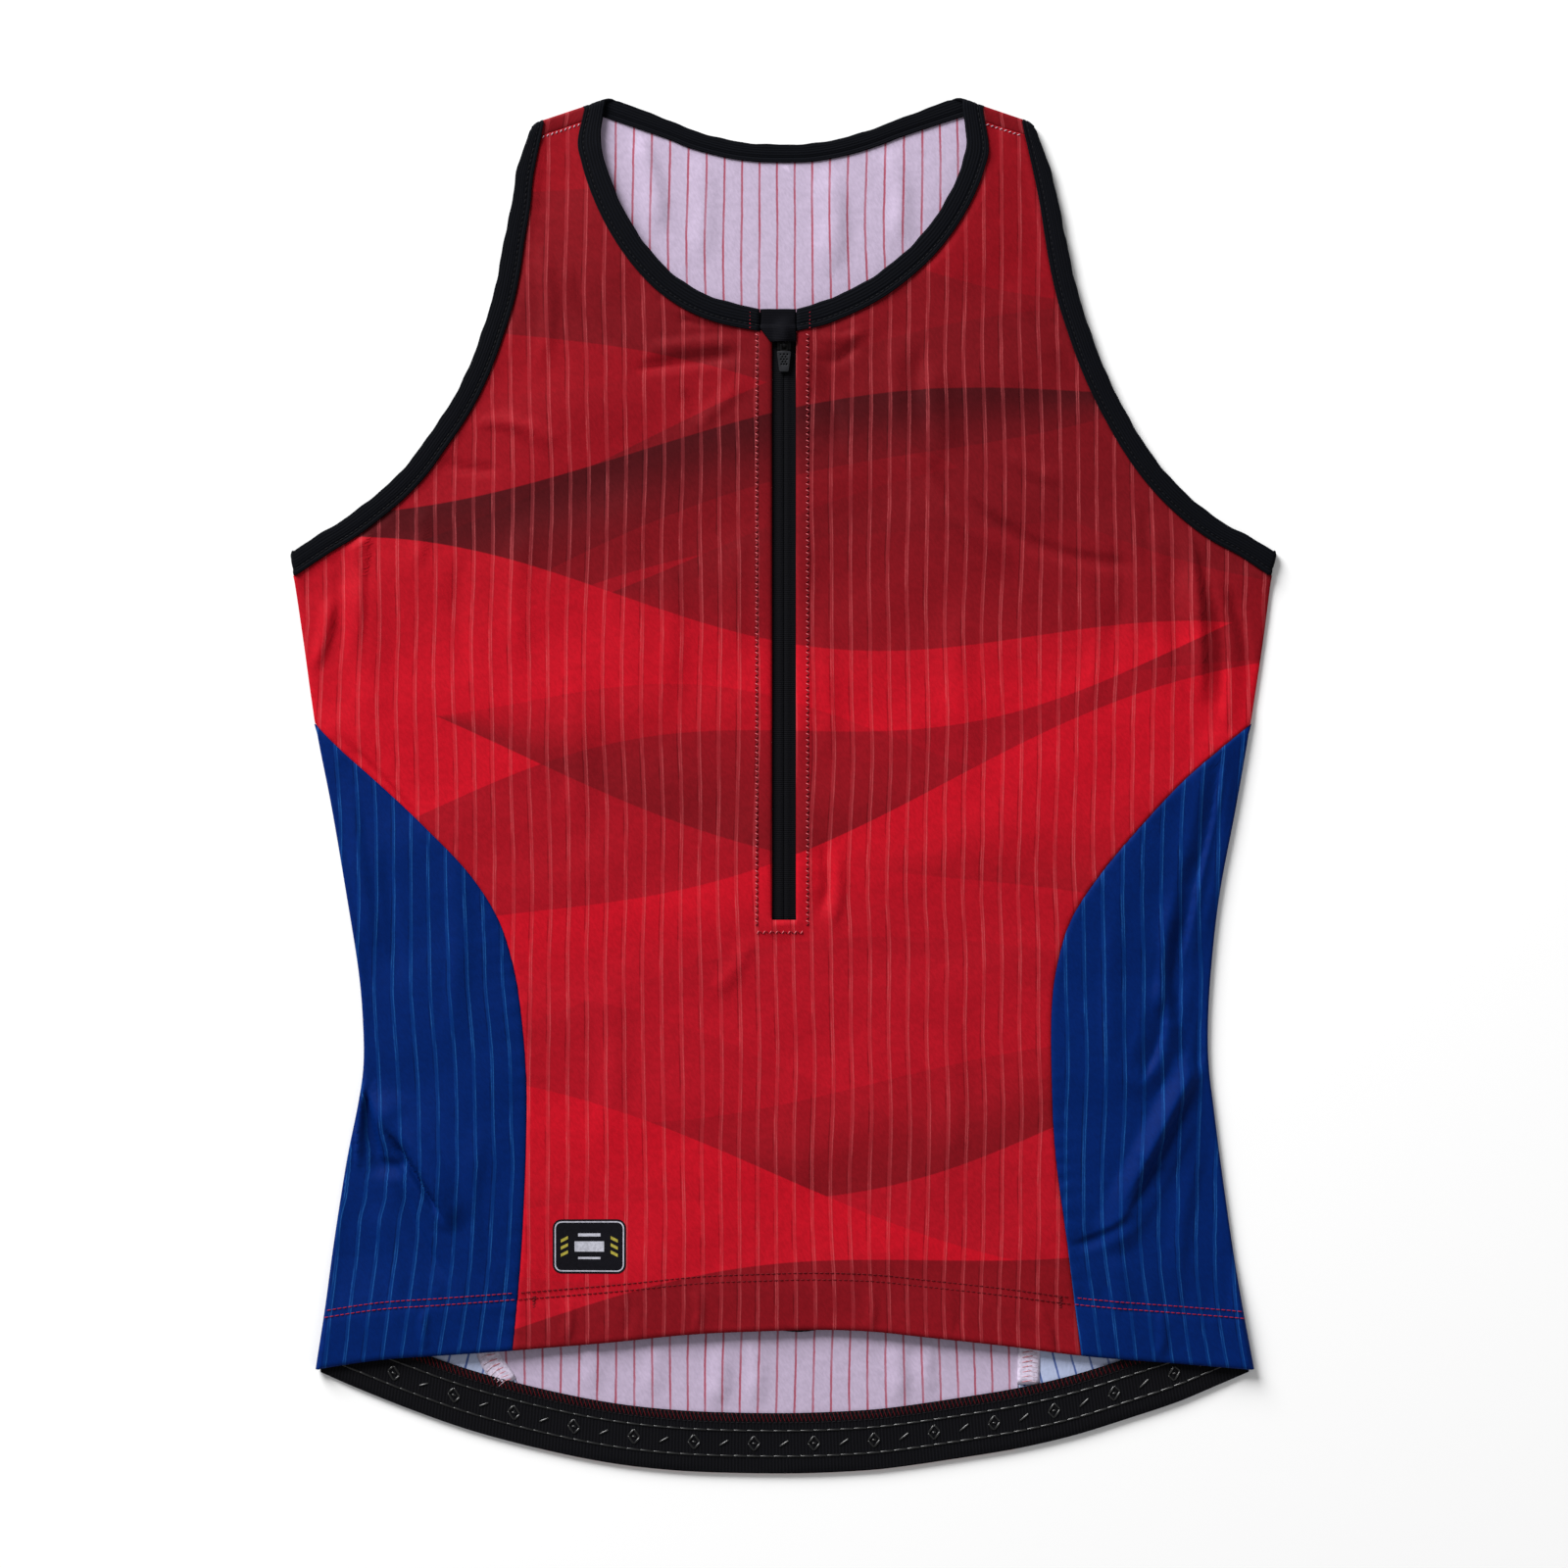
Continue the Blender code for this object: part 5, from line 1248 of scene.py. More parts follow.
def rounded_corner(points, corner, along_fold, along_edge, radius):
    """Draws a square corner in to a round one; the two directions lead away from it."""
    basis = np.stack([along_fold, along_edge], axis=-1)
    place = (points[..., :2] - corner) @ np.linalg.inv(basis).T
    inward = np.clip((radius - place) / radius, 0, 1.3)
    far = np.linalg.norm(inward, axis=-1)
    near = (place < radius).all(axis=-1) & (far > 1e-6)
    shrink = np.where(near, inward.max(axis=-1) / np.maximum(far, 1e-6), 1)
    place = np.where(near[..., None], radius - inward * radius * shrink[..., None], place)
    moved = points.copy()
    moved[..., :2] = np.where(near[..., None], corner + place @ basis.T, points[..., :2])
    return moved


def unit(vector):
    return np.asarray(vector, float) / np.linalg.norm(vector)


def strip_on_front(free, sewn):
    """Stations of a binding that lies on the front, level across its width."""
    level = base_height(sewn) + BINDING_RISE
    return with_height(free, level), with_height(sewn, level), np.tile(UP, (len(free), 1))


def strip_on_back(free, sewn):
    level = np.full(len(free), BINDING_BACK_LEVEL)
    return with_height(free, level), with_height(sewn, level), np.tile(-UP, (len(free), 1))


def strip_round(free, sewn, outward):
    """Stations of a binding round a fold, from the front to the back."""
    top = along_table(EDGE_LEVELS, free[1]) + BINDING_RISE
    points = turned(np.stack([free, sewn]), outward, BINDING, top, BINDING_BACK_LEVEL, TURN)
    lean = np.radians(TURN)[:, None]
    level = np.array((*outward, 0))
    return points[:, 0], points[:, 1], level * np.cos(lean) + UP * np.sin(lean)


def joined(*parts):
    """Sets of rows end to end, such as the stations of strips or the ends of threads."""
    return [np.vstack(columns) for columns in zip(*parts)]


def reversed_stations(part):
    return [rows[::-1] for rows in part]


CORNER = {"armhole": 5.2, "foot": 2.2, "neck": 5}  # radii of the bindings' corners


def smoothed(corners, spans):
    """Smooth free and sewn lines of a binding, from the corners of both."""
    return [spread(curve(line), spans) for line in corners]


def armhole_plan(side):
    """Free and sewn lines of the armhole's binding, between its two folds."""
    free = spread(column(ARMHOLE, side), CORNERS["armhole"])
    sewn = spread(armhole_inside(side), CORNERS["armhole"])
    foot_tuck, shoulder_tuck = (
        binding_tuck(outward) for outward in ((sign_of(side), 0), shoulder_outward(side))
    )
    free[0] += foot_tuck
    sewn[0] = column(SIDE_FOLD, side)[0] + foot_tuck
    free[-1], sewn[-1] = (place + shoulder_tuck for place in armhole_on_fold(side))
    return smoothed((free, sewn), 120)


def armhole_rib(side):
    points, uv = binding_rows(*armhole_stations(side), ARMHOLE_WIDTH)
    edge = column(ARMHOLE, side)
    top, sewn = armhole_on_fold(side)
    foot = column(SIDE_FOLD, side)[0]
    for corner, along_fold, along_edge, radius in (
        (top, sewn, edge[-20], CORNER["armhole"]), (edge[0], foot, edge[12], CORNER["foot"])
    ):
        along_fold, along_edge = unit(along_fold - corner), unit(along_edge - corner)
        points = rounded_corner(points, corner, along_fold, along_edge, radius)
    grids = [(points, uv, side == "right")]
    return shell(f"armhole_rib_{side}", grids, STRIP_WALL, [RIB], closed=True)


NECK_SHIFT = 5  # how much nearer to the strap the front strip meets the fold than the back one


def neck_plan(side):
    """Free and sewn lines of the front neck binding, from the zip to the shoulder fold."""
    free = spread(curve(FRONT_NECK[side]), CORNERS["neck"])
    sewn = spread(neck_inside(side), CORNERS["neck"])
    sewn[0][0] = free[0][0]
    tuck = binding_tuck(shoulder_outward(side))
    free[-1] = fold_point(side, shoulder_width(side) - NECK_SHIFT) + tuck
    sewn[-1] = neck_on_fold(side)[1] + tuck
    return smoothed((free, sewn), 70)


def back_neck_plan():
    line = curve(BACK_NECK)
    free = spread(line, CORNERS["back_neck"])
    sewn = spread(beside(line, -BACK_NECK_WIDTH), CORNERS["back_neck"])
    for end, side in ((0, "left"), (-1, "right")):
        tuck = binding_tuck(shoulder_outward(side))
        free[end], sewn[end] = (place + tuck for place in neck_on_fold(side))
    return smoothed([np.delete(line, (1, -2), axis=0) for line in (free, sewn)], 76)


def neck_stations():
    """The whole strip: left front, its turn, back, right turn and right front."""
    parts = []
    for side in SIDES:
        apex, sewn = neck_on_fold(side)
        turn = strip_round(apex, sewn, shoulder_outward(side))
        to_strap = unit(sewn - apex) * NECK_SHIFT
        turn[0][:, :2] += to_strap * (1 - smooth(np.linspace(0, 1, len(TURN))))[:, None]
        parts.append(joined(strip_on_front(*neck_plan(side)), turn))
    back = strip_on_back(*back_neck_plan())
    return joined(parts[0], back, reversed_stations(parts[1]))


def neck_rib():
    points, uv = binding_rows(*neck_stations(), FRONT_NECK_WIDTH)
    free = back_neck_plan()[0]
    for side, next_point in (("left", free[14]), ("right", free[-15])):
        apex = neck_on_fold(side)[0]
        into, down = unit(fold_point(side, 0) - apex), unit(next_point - apex)
        points = rounded_corner(points, apex, into, down, CORNER["neck"])
    return shell("neck_rib", [(points, uv, True)], STRIP_WALL, [RIB])


def armhole_stations(side):
    """The whole ring: front, shoulder turn, back and foot turn."""
    free, sewn = armhole_plan(side)
    foot = (column(ARMHOLE, side)[0], column(SIDE_FOLD, side)[0])
    return joined(
        strip_on_front(free, sewn),
        strip_round(*armhole_on_fold(side), shoulder_outward(side)),
        reversed_stations(strip_on_back(free, sewn)),
        reversed_stations(strip_round(*foot, (sign_of(side), 0))),
    )


def binding_stitches(name, parts):
    """A tonal row of stitches in the groove beside the sewn edge."""
    free, sewn, normal = parts
    across = unit_rows(sewn - free)
    pitch, length = 2.6, 2
    path = np.hstack([sewn - across * 1.7 + normal * 0.52, normal])
    marks = marks_of(path[:, :3])
    places = np.arange(0, marks[-1] - pitch, pitch)
    first, last = (
        np.stack([np.interp(part, marks, values) for values in path.T], axis=-1)
        for part in (places, places + length)
    )
    up = unit_rows(first[:, 3:])
    return threads(name, first[:, :3], last[:, :3], 0.2, THREADS["black"], 0.12, up)


# ---- hem band


BAND_WALL = 0.8
BAND_BACK = BACK_LEVEL + WALL / 2 + BAND_WALL / 2 + 0.05
BAND_LINES = (19.1, 7.7)  # heights of the two grip lines above the hem
MARK_PITCH = 27
DIAMOND = ((-2.7, 0, 0, 3.3), (0, 3.3, 2.7, 0), (2.7, 0, 0, -3.3), (0, -3.3, -2.7, 0))
BAR = ((-0.9, 0, 0.9, 0),)
SLASH = ((-2.3, -1.5, 2.3, 1.5),)


def band_height(points, hem):
    """The back band's middle, which waves a little between its stitches."""
    x = points[..., 0]
    wave_ = 0.5 + 0.5 * np.sin(x / 17 + 1.4 * np.sin(x / 41))
    lower = 1 - smooth(hem / HEM_BAND_HEIGHT)
    return BAND_BACK + 0.55 * wave_ * (0.3 + 0.7 * lower) * smooth(hem / 3)


def hem_band():
    """The elastic band inside the hem, all round."""
    places = stations(HEM_BAND_HEIGHT, 9, True, True)[0]
    heights = HEM_BAND_INSET + places
    hem_level = along_table(EDGE_LEVELS, HEM_SIDE)
    tuck_in = SOLID_WALL / 2 + (hem_level - BACK_LEVEL) / 2
    front_level = hem_level - WALL / 2 - BAND_WALL / 2 - 0.05
    starts, rounds = {}, {}
    for side in SIDES:
        outward = np.array((sign_of(side), 0))
        fold = column(SIDE_FOLD, side)
        outline = np.vstack([spread(fold, 1, share_at(fold, HEM_SIDE + h))[0] for h in heights])
        starts[side] = outline - outward * tuck_in
        inner = outline - outward * LAYER
        rounds[side] = turned(inner, outward, SOLID_WALL, front_level, BAND_BACK, TURN)
    share = np.linspace(0, 1, 131)[:, None]
    x = starts["left"][:, 0] * (1 - share) + starts["right"][:, 0] * share
    plan = np.stack([x, hem_at(FRONT_HEM, x) + heights], axis=-1)
    plan[..., 1] -= 1.5 * np.exp(-(((x - 7) / 9) ** 2)) * (1 - smooth(heights / 8))
    drop = WALL / 2 + BAND_WALL / 2 + 0.1
    front = with_height(plan, np.minimum(front_height(plan), base_height(plan)) - drop)
    plan = np.stack([x, hem_at(BACK_HEM, x) + heights - HEM_BAND_INSET], axis=-1)
    back = with_height(plan, band_height(plan, np.broadcast_to(heights, x.shape)))
    points = np.concatenate([front, rounds["right"], back[::-1], rounds["left"][::-1]])
    uv = np.stack(np.broadcast_arrays(heights[None], marks_of(points[:, 5])[:, None]), axis=-1)
    return shell("hem_band_elastic", [(points, uv, False)], BAND_WALL, [ELASTIC], closed=True)


def on_band(x, height):
    """Points on the inner face of the back band."""
    plan = np.stack([x, hem_at(BACK_HEM, x) + height], axis=-1)
    level = band_height(plan, np.broadcast_to(height, x.shape)) + BAND_WALL / 2
    return with_height(plan, level)


# ---- threads


def threads(name, starts, ends, radius, material, arch=0.25, normal=UP, sides=5):
    """Short arched threads from starts to ends, as one mesh."""
    shares = np.array((0, 0.12, 0.5, 0.88, 1))
    girths = np.array((0.35, 0.9, 1, 0.9, 0.35)) * radius
    starts, ends = np.asarray(starts, float), np.asarray(ends, float)
    run = ends - starts
    along = unit_rows(run)
    across = unit_rows(np.cross(along, np.broadcast_to(normal, starts.shape)))
    up = np.cross(across, along)
    turn = np.linspace(0, 2 * math.pi, sides, endpoint=False)
    ring = across[:, None] * np.cos(turn)[None, :, None] + up[:, None] * np.sin(turn)[None, :, None]
    middle = starts[:, None] + run[:, None] * shares[None, :, None]
    middle = middle + up[:, None] * (arch * np.sin(math.pi * shares))[None, :, None]
    points = middle[:, :, None] + ring[:, None] * girths[None, :, None, None]
    count = len(shares) * sides
    faces = []
    for number in range(len(starts)):
        first = number * count
        for i in range(len(shares) - 1):
            low, high = first + i * sides, first + (i + 1) * sides
            for j in range(sides):
                k = (j + 1) % sides
                faces.append((low + j, low + k, high + k, high + j))
        faces.append(tuple(first + j for j in reversed(range(sides))))
        faces.append(tuple(first + count - sides + j for j in range(sides)))
    return add_object(name, points.reshape(-1, 3), faces, [material])


def on_front(points, lift=0):
    """Points on the outer face of the front cloth."""
    height = front_height(points) + WALL / 2 + lift
    return with_height(points, height)


def row_of(line, pitch, fill=0.75, offset=0):
    """Starts and ends of stitches along a line, in plan."""
    places = np.arange(offset, length_of(line) - pitch, pitch)
    return at(line, places), at(line, places + pitch * fill)


ZIP_SEWING = ((-12.2, 10.6), 202, -66)  # x of the rows beside the zip, their top and their foot
ZIP_SEWING_FOOT = -66.6  # y of the row across
ZIP_PITCH = 2.8


def zip_stitches():
    """Cover stitches down both sides of the zip and across its foot."""
    made = []
    columns, top, foot = ZIP_SEWING
    lines = [((x, top), (x, foot), (1, 0)) for x in columns]
    lines.append((*((x, ZIP_SEWING_FOOT) for x in columns), (0, 1)))
    for thread, radius, slant, offset in (
        ("pink", 0.24, 0.66, 0), ("dark_red", 0.26, -0.6, ZIP_PITCH / 2)
    ):
        parts = []
        for start, stop, across in lines:
            low, high = row_of(straight(start, stop), ZIP_PITCH, 0.32, offset)
            parts.append((low - slant * np.array(across), high + slant * np.array(across)))
        starts, ends = (on_front(plan, ZIP_FOLD[1]) for plan in joined(*parts))
        made.append(threads(f"zip_stitches_{thread}", starts, ends, radius, THREADS[thread]))
    return made


def hem_rows(prefix, middle, hem, seams, limits, stitch, lay, normal):
    """Two rows of stitches round one hem, in the thread that suits each panel."""
    left, right = (at(line, [26])[0][0] for line in seams)
    pitch, fill, radius, arch = stitch
    made = []
    for name, thread, low, high in (
        (middle, "dark_red", left, right),
        ("left", "red", limits[0], left),
        ("right", "red", right + 0.4, limits[1]),
    ):
        x = np.append(np.arange(low, high, 2), high)
        lines = [np.stack([x, hem_at(hem, x) + height], axis=-1) for height in HEM_STITCHES]
        parts = [row_of(line, pitch, fill, row * 1.2) for row, line in enumerate(lines)]
        starts, ends = (lay(plan) for plan in joined(*parts))
        rows = f"{prefix}_{name}"
        made.append(threads(rows, starts, ends, radius, THREADS[thread], arch, normal))
    return made


def hem_stitches():
    """The rows on the outer faces of the front and the back."""
    front, back = (
        [panel_seam(table, side, hem, hem_x, 0) for side in SIDES]
        for table, hem, hem_x in (
            (FRONT_SEAM, FRONT_HEM, FRONT_SEAM_HEM_X),
            (BACK_SEAM, BACK_HEM, BACK_SEAM_HEM_X),
        )
    )
    stitch, limits = (2.4, 0.8, 0.2, 0.16), (-206.4, 207.4)  # pitch, fill, radius, arch; x
    made = hem_rows(
        "hem_stitches", "front", FRONT_HEM, front, limits, stitch, lambda p: on_front(p, 0.1), UP
    )
    stitch, limits = (2.5, 0.78, 0.17, 0.1), (-200, 200)
    return made + hem_rows(
        "back_hem_stitches", "middle", BACK_HEM, back, limits, stitch, under_back, -UP
    )


def under_back(points):
    """Points on the outer face of the back cloth."""
    return with_height(points, back_height(points) - WALL / 2 + 0.06)


def binding_threads():
    made = [binding_stitches("neck_rib_stitches", neck_stations())]
    for side in SIDES:
        made.append(binding_stitches(f"armhole_rib_stitches_{side}", armhole_stations(side)))
    return made


def shoulder_stitches():
    """The pale loops along the shoulder seams."""
    parts = []
    for side in SIDES:
        drop = SHOULDER_SEAM_DROP - np.linalg.norm(cloth_tuck(side)) + 0.9
        lines = (front_neck_of_panels(side), armhole_of_panels(side))
        near, far = (at(line, [length_of(line) - drop])[0] for line in lines)
        first, last = row_of(straight(near, far), 2.1, 0.5, 0.8)
        lean = unit(far - near)[::-1] * (-0.4, 0.4)
        parts.append((on_front(first - lean), on_front(last + lean)))
    return threads("shoulder_stitches", *joined(*parts), 0.2, THREADS["pale"], 0.26)


def bar_tack(name, places, thread, height, pitch, level=None):
    """Short columns of tight stitches; places are the x, lower y and half width of each."""
    parts = []
    for x, y, half in places:
        steps = y + np.arange(0, height, pitch)
        lean = np.where(np.arange(len(steps)) % 2 == 0, half, -half)
        parts.append(
            (np.stack([x - lean, steps], axis=-1), np.stack([x + lean, steps + 0.5], axis=-1))
        )
    starts, ends = (
        on_front(plan) if level is None else with_height(plan, np.full(len(plan), level))
        for plan in joined(*parts)
    )
    return threads(name, starts, ends, 0.2, THREADS[thread], 0.2)


def tacks():
    hem_ends = ((-112.2, -235, 0.9), (124.2, -235.2, 0.9))
    zip_ends = ((-15.2, 204.6, 0.35), (11.6, 204.6, 0.35))
    level = float(base_height(np.array((15, 208)))) + BINDING_RISE + NOSE
    return [
        bar_tack("hem_tacks", hem_ends, "dark_red", 5, 0.75),
        bar_tack("neck_tacks", zip_ends, "red", 8.4, 1.7, level),
    ]


BAND_END = 204  # how far the band's sewing reaches to either side


def band_stitches():
    """Cover stitches along the top of the back band, in two threads that cross."""
    made = []
    for thread, lean, radius, shift in (("black", 1.5, 0.2, 0), ("dark_red", -1.5, 0.17, 0.6)):
        x = np.arange(-BAND_END, BAND_END + 1, 1.9) + shift
        starts, ends = on_band(x - lean / 2, 22.9), on_band(x + lean / 2, 26.9)
        made.append(threads(f"band_stitches_{thread}", starts, ends, radius, THREADS[thread], 0.18))
    x = np.arange(-BAND_END, BAND_END, 2.4)
    ends = joined(*((on_band(x, height), on_band(x + 1.9, height)) for height in (22.7, 27)))
    return made + [threads("band_stitch_rows", *ends, 0.2, THREADS["black"], 0.12)]


def grip_lines():
    """Two raised silicone lines and a row of plain marks between them, on the back band."""
    x = np.arange(-BAND_END + 1, BAND_END - 1, 6)
    parts = [(on_band(x, height), on_band(x + 6.4, height)) for height in BAND_LINES]
    middle = sum(BAND_LINES) / 2
    for number, centre in enumerate(np.arange(-202.5, 203, MARK_PITCH / 2)):
        for x0, h0, x1, h1 in SLASH if number % 2 else DIAMOND + BAR:
            low = on_band(np.array([centre + x0]), middle + h0)
            parts.append((low, on_band(np.array([centre + x1]), middle + h1)))
    return threads("hem_band_grip", *joined(*parts), 0.5, SILICONE, 0, UP, 8)


SEAM_TAPE = 9.4  # width of the seam allowance


def seam_tape(side):
    """The overlocked seam allowance inside a back side seam."""
    seam = column(BACK_SEAM, side)
    above = seam[:, 1] - hem_at(BACK_HEM, seam[:, 0])
    seam = part_between(seam, float(seam[above > HEM_BAND_HEIGHT + 1][-1, 1]), 10)
    rows = at(seam, np.arange(0, length_of(seam), 2.5))
    inner, outer = (beside(rows, -sign_of(side) * width) for width in (SEAM_TAPE, -0.5))
    grid, _, _ = ruled(inner, outer, 8, False, False)
    away = np.linspace(-1, 1, grid.shape[1])
    ripple = 0.12 * np.sin(np.arange(len(rows)) * 0.9)[:, None]
    height = back_height(grid) + WALL / 2 + 0.18 + (0.45 + ripple) * (1 - away**4)
    points = with_height(grid, height)
    made = [shell(f"seam_tape_{side}", [(points, grid, side == "left")], 0.3, [SEAM_CLOTH])]
    for start, thread, lean, across in ((1, "pink", 1, (1.4, 6.2)), (2, "pale", -1, (3, 8.2))):
        line = at(seam, np.arange(start, length_of(seam) - 2, 2.2))
        first, last = (beside(line, -sign_of(side) * width) for width in across)
        starts, ends = (
            with_height(plan, back_height(plan) + WALL / 2 + 0.72)
            for plan in (first, last + np.array((0, lean)))
        )
        name = f"seam_stitches_{thread}_{side}"
        made.append(threads(name, starts, ends, 0.17, THREADS[thread], 0.1))
    return made


# ---- badge


BADGE = (-87.4, -207.6, 33, 24.4, 4)  # centre x and y, width, height, corner radius
BADGE_RIM = (0.9, 1.45)  # from the badge's edge to the pale rim's outer and inner side
BADGE_BARS = (  # offset x, offset y, half width, half height, slant, material
    (0, 0, 6.6, 2.3, 0, 1),
    (0, 5.2, 5, 0.7, 0, 1),
    (0, -5.2, 5, 0.5, 0, 1),
    *((-11.2, y, 1.6, 0.7, 0.5, 2) for y in (3.2, 0, -3.2)),
    *((11.2, y, 1.6, 0.7, -0.5, 2) for y in (3.2, 0, -3.2)),
)


def rounded_box(inset, count=24):
    """The outline of the badge, moved in by inset."""
    x, y, width, height, radius = BADGE
    half = np.array((width, height)) / 2 - inset
    radius = max(radius - inset, 0.3)
    turn = np.linspace(0, math.pi / 2, count // 4 + 1)
    points = []
    for number, (sx, sy) in enumerate(((1, 1), (-1, 1), (-1, -1), (1, -1))):
        centre = (half - radius) * (sx, sy)
        lean = turn + number * math.pi / 2
        points.append(centre + radius * np.stack([np.cos(lean), np.sin(lean)], axis=-1))
    return spread(np.vstack([*points, points[0][:1]]), 96) + (x, y)


def badge():
    """A small plate in place of the badge at the hem: a rim and plain bars."""
    edge, (outside, inside) = rounded_box(0), BADGE_RIM
    centre = np.array(BADGE[:2])
    shares = np.linspace(1, 0, 12)[:, None, None]
    grids = [(centre + (edge - centre) * shares, 0.1, 0)]
    share = np.linspace(0, 1, 3)[:, None, None]
    rims = rounded_box(outside), rounded_box(inside)
    grids.append((rims[0] * (1 - share) + rims[1] * share, 0.16, 1))
    for x, y, half_x, half_y, slant, slot in BADGE_BARS:
        u, v = np.meshgrid(np.linspace(-1, 1, 9), np.linspace(-1, 1, 4))
        bar = np.stack([u * half_x, v * half_y + u * half_x * slant], axis=-1)
        grids.append((centre + (x, y) + bar, 0.16, slot))
    vertices, faces, slots, start = [], [], [], 0
    for plan, lift, slot in grids:
        points = on_front(plan, lift)
        new = grid_faces(*plan.shape[:2], start)
        faces += new
        slots += [slot] * len(new)
        vertices.append(points.reshape(-1, 3))
        start += plan.shape[0] * plan.shape[1]
    materials = [LABEL_DARK, LABEL_PALE, LABEL_YELLOW]
    made = add_object("hem_badge", np.vstack(vertices), faces, materials, None, slots)
    return welded(made, 0.001)


# ---- zip


def zip_tape(side):
    """One tape: woven, with its edge raised over the coil under it."""
    sign = sign_of(side)
    heights = np.arange(ZIP_BOTTOM - TAPE_BELOW_OPENING, SLIDER_FOOT - 2, 2)
    heights = np.append(heights, (SLIDER_FOOT, 200, 206, ZIP_TOP))
    near = np.where(heights > SLIDER_FOOT - 1, 1, 0.12)[:, None]
    share = np.array((0, 0.03, 0.07, 0.12, 0.18, 0.25, 0.33, 0.45, 0.6, 0.8, 1))
    x = near + (TAPE_WIDTH - near) * share
    plan = np.stack([sign * x, np.broadcast_to(heights[:, None], x.shape)], axis=-1)
    level = base_height(plan) - LAYER
    on_coil = np.exp(-(((x - 1.5) / 1.1) ** 2)) * (heights[:, None] < SLIDER_FOOT - 1)
    level += 0.3 * on_coil
    points = with_height(plan, level)
    return shell(f"zip_tape_{side}_weave", [(points, plan, side == "left")], WALL, [TAPE])


def zip_coil():
    """The closed coil under the tapes."""
    y = np.arange(ZIP_BOTTOM, SLIDER_FOOT - 0.5, 1.3)
    level = BODY_LEVEL - LAYER - WALL / 2 - 0.75
    parts = []
    for sign, shift in ((-1, 0), (1, 0.65)):
        parts.append(
            [
                np.stack([np.full_like(y, x), y + shift, np.full_like(y, level)], -1)
                for x in (sign * 1.9, -sign * 0.7)
            ]
        )
    return threads("zip_coil", *joined(*parts), 0.36, COIL, arch=0.3)


def garage():
    """The cloth cap over the slider."""
    y = np.linspace(GARAGE_FOOT, GARAGE_TOP, 31)[:, None]
    left = along_table(GARAGE_LEFT, y)
    share = np.linspace(0, 1, 27)[None]
    x = left + (GARAGE_RIGHT - left) * share
    lapped = 1 - smooth((y - GARAGE_STEP[0]) / GARAGE_STEP[1])
    base = GARAGE_ON_TAPE + (GARAGE_ON_FRONT - GARAGE_ON_TAPE) * lapped
    swell = 1 - smooth((y - GARAGE_SWELL[0]) / GARAGE_SWELL[1])
    arch = np.cos(math.pi / 2 * np.minimum(np.abs(x) / (ZIP_OPENING / 2), 1)) ** 2
    level = base + (GARAGE_CROWN - base) * arch * swell
    edge = np.minimum(share, 1 - share) * (GARAGE_RIGHT - left)
    level = level + rolled(edge, 0.3, 1.4) + rolled(y - GARAGE_FOOT, 0.3, 1.2)
    level = level + 0.12 * np.sin(x * 0.9 + y * 0.6)
    plan = np.stack(np.broadcast_arrays(x, y), axis=-1)
    return shell("zip_garage_cloth", [(with_height(plan, level), plan, False)], 0.8, [GARAGE_CLOTH])


def plate(name, outlines, thickness, bevel, material):
    """A flat plate with soft edges from 2D outlines, the later ones holes in the first."""
    drawing = bpy.data.curves.new(name + "_outline", "CURVE")
    drawing.dimensions = "2D"
    drawing.fill_mode = "BOTH"
    drawing.extrude = (thickness / 2 - bevel) * MM
    drawing.bevel_depth = bevel * MM
    drawing.bevel_resolution = 2
    drawing.offset = -bevel * MM
    for outline in outlines:
        line = drawing.splines.new("POLY")
        line.points.add(len(outline) - 1)
        line.use_cyclic_u = True
        for point, (x, y) in zip(line.points, outline):
            point.co = (x * MM, y * MM, 0, 1)
    drawn = bpy.data.objects.new(name + "_drawing", drawing)
    bpy.context.scene.collection.objects.link(drawn)
    graph = bpy.context.evaluated_depsgraph_get()
    mesh = bpy.data.meshes.new_from_object(drawn.evaluated_get(graph))
    bpy.data.objects.remove(drawn)
    mesh.name = name
    mesh.materials.clear()
    mesh.materials.append(material)
    made = bpy.data.objects.new(name, mesh)
    bpy.context.scene.collection.objects.link(made)
    welded(made, 0.004)
    made.data.shade_smooth()
    made.data.set_sharp_from_angle(angle=math.radians(40))
    return made


def circle(x, y, radius, count=12):
    turn = np.linspace(0, 2 * math.pi, count, endpoint=False)
    return [(x + radius * math.cos(a), y + radius * math.sin(a)) for a in turn]


PULL_SLOPE = math.radians(5)


def zip_pull():
    """The pull: a black loop on the slider, and a rubber tab with staggered small holes."""
    tab = [(2.6, -2.7), (3.05, -3.1), (3.1, -3.6), (2.15, -11.4), (1.9, -11.85), (1.5, -12)]
    tab += [(-x, y) for x, y in reversed(tab)]
    holes = []
    for row, y in enumerate((-4.2, -5.3, -6.4, -7.5, -8.6)):
        places = (-1.5, 0, 1.5) if row % 2 == 0 else (-0.75, 0.75)
        holes += [circle(x * (1 - 0.05 * row), y, 0.4) for x in places]
    loop = [(1.65, 0.35), (1.65, -3.2)]
    loop += [(-x, y) for x, y in reversed(loop)]
    window = [(-1, -0.35), (1, -0.35), (1, -2.2), (-1, -2.2)]
    made = [
        plate("zip_pull_tab", [tab, *holes], 1.1, 0.16, PULL_RUBBER),
        plate("zip_pull_loop", [loop, window], 0.8, 0.12, LACQUER),
    ]
    for piece in made:
        piece.location = (0, HINGE_Y * MM, HINGE_LEVEL * MM)
        piece.rotation_euler = (PULL_SLOPE, 0, 0)
    return made


# ---- assembly


def dress(piece, node, body="garment"):
    """The piece rides on its body and stands for its node."""
    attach(piece, body)
    if node:
        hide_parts(node)
    return piece


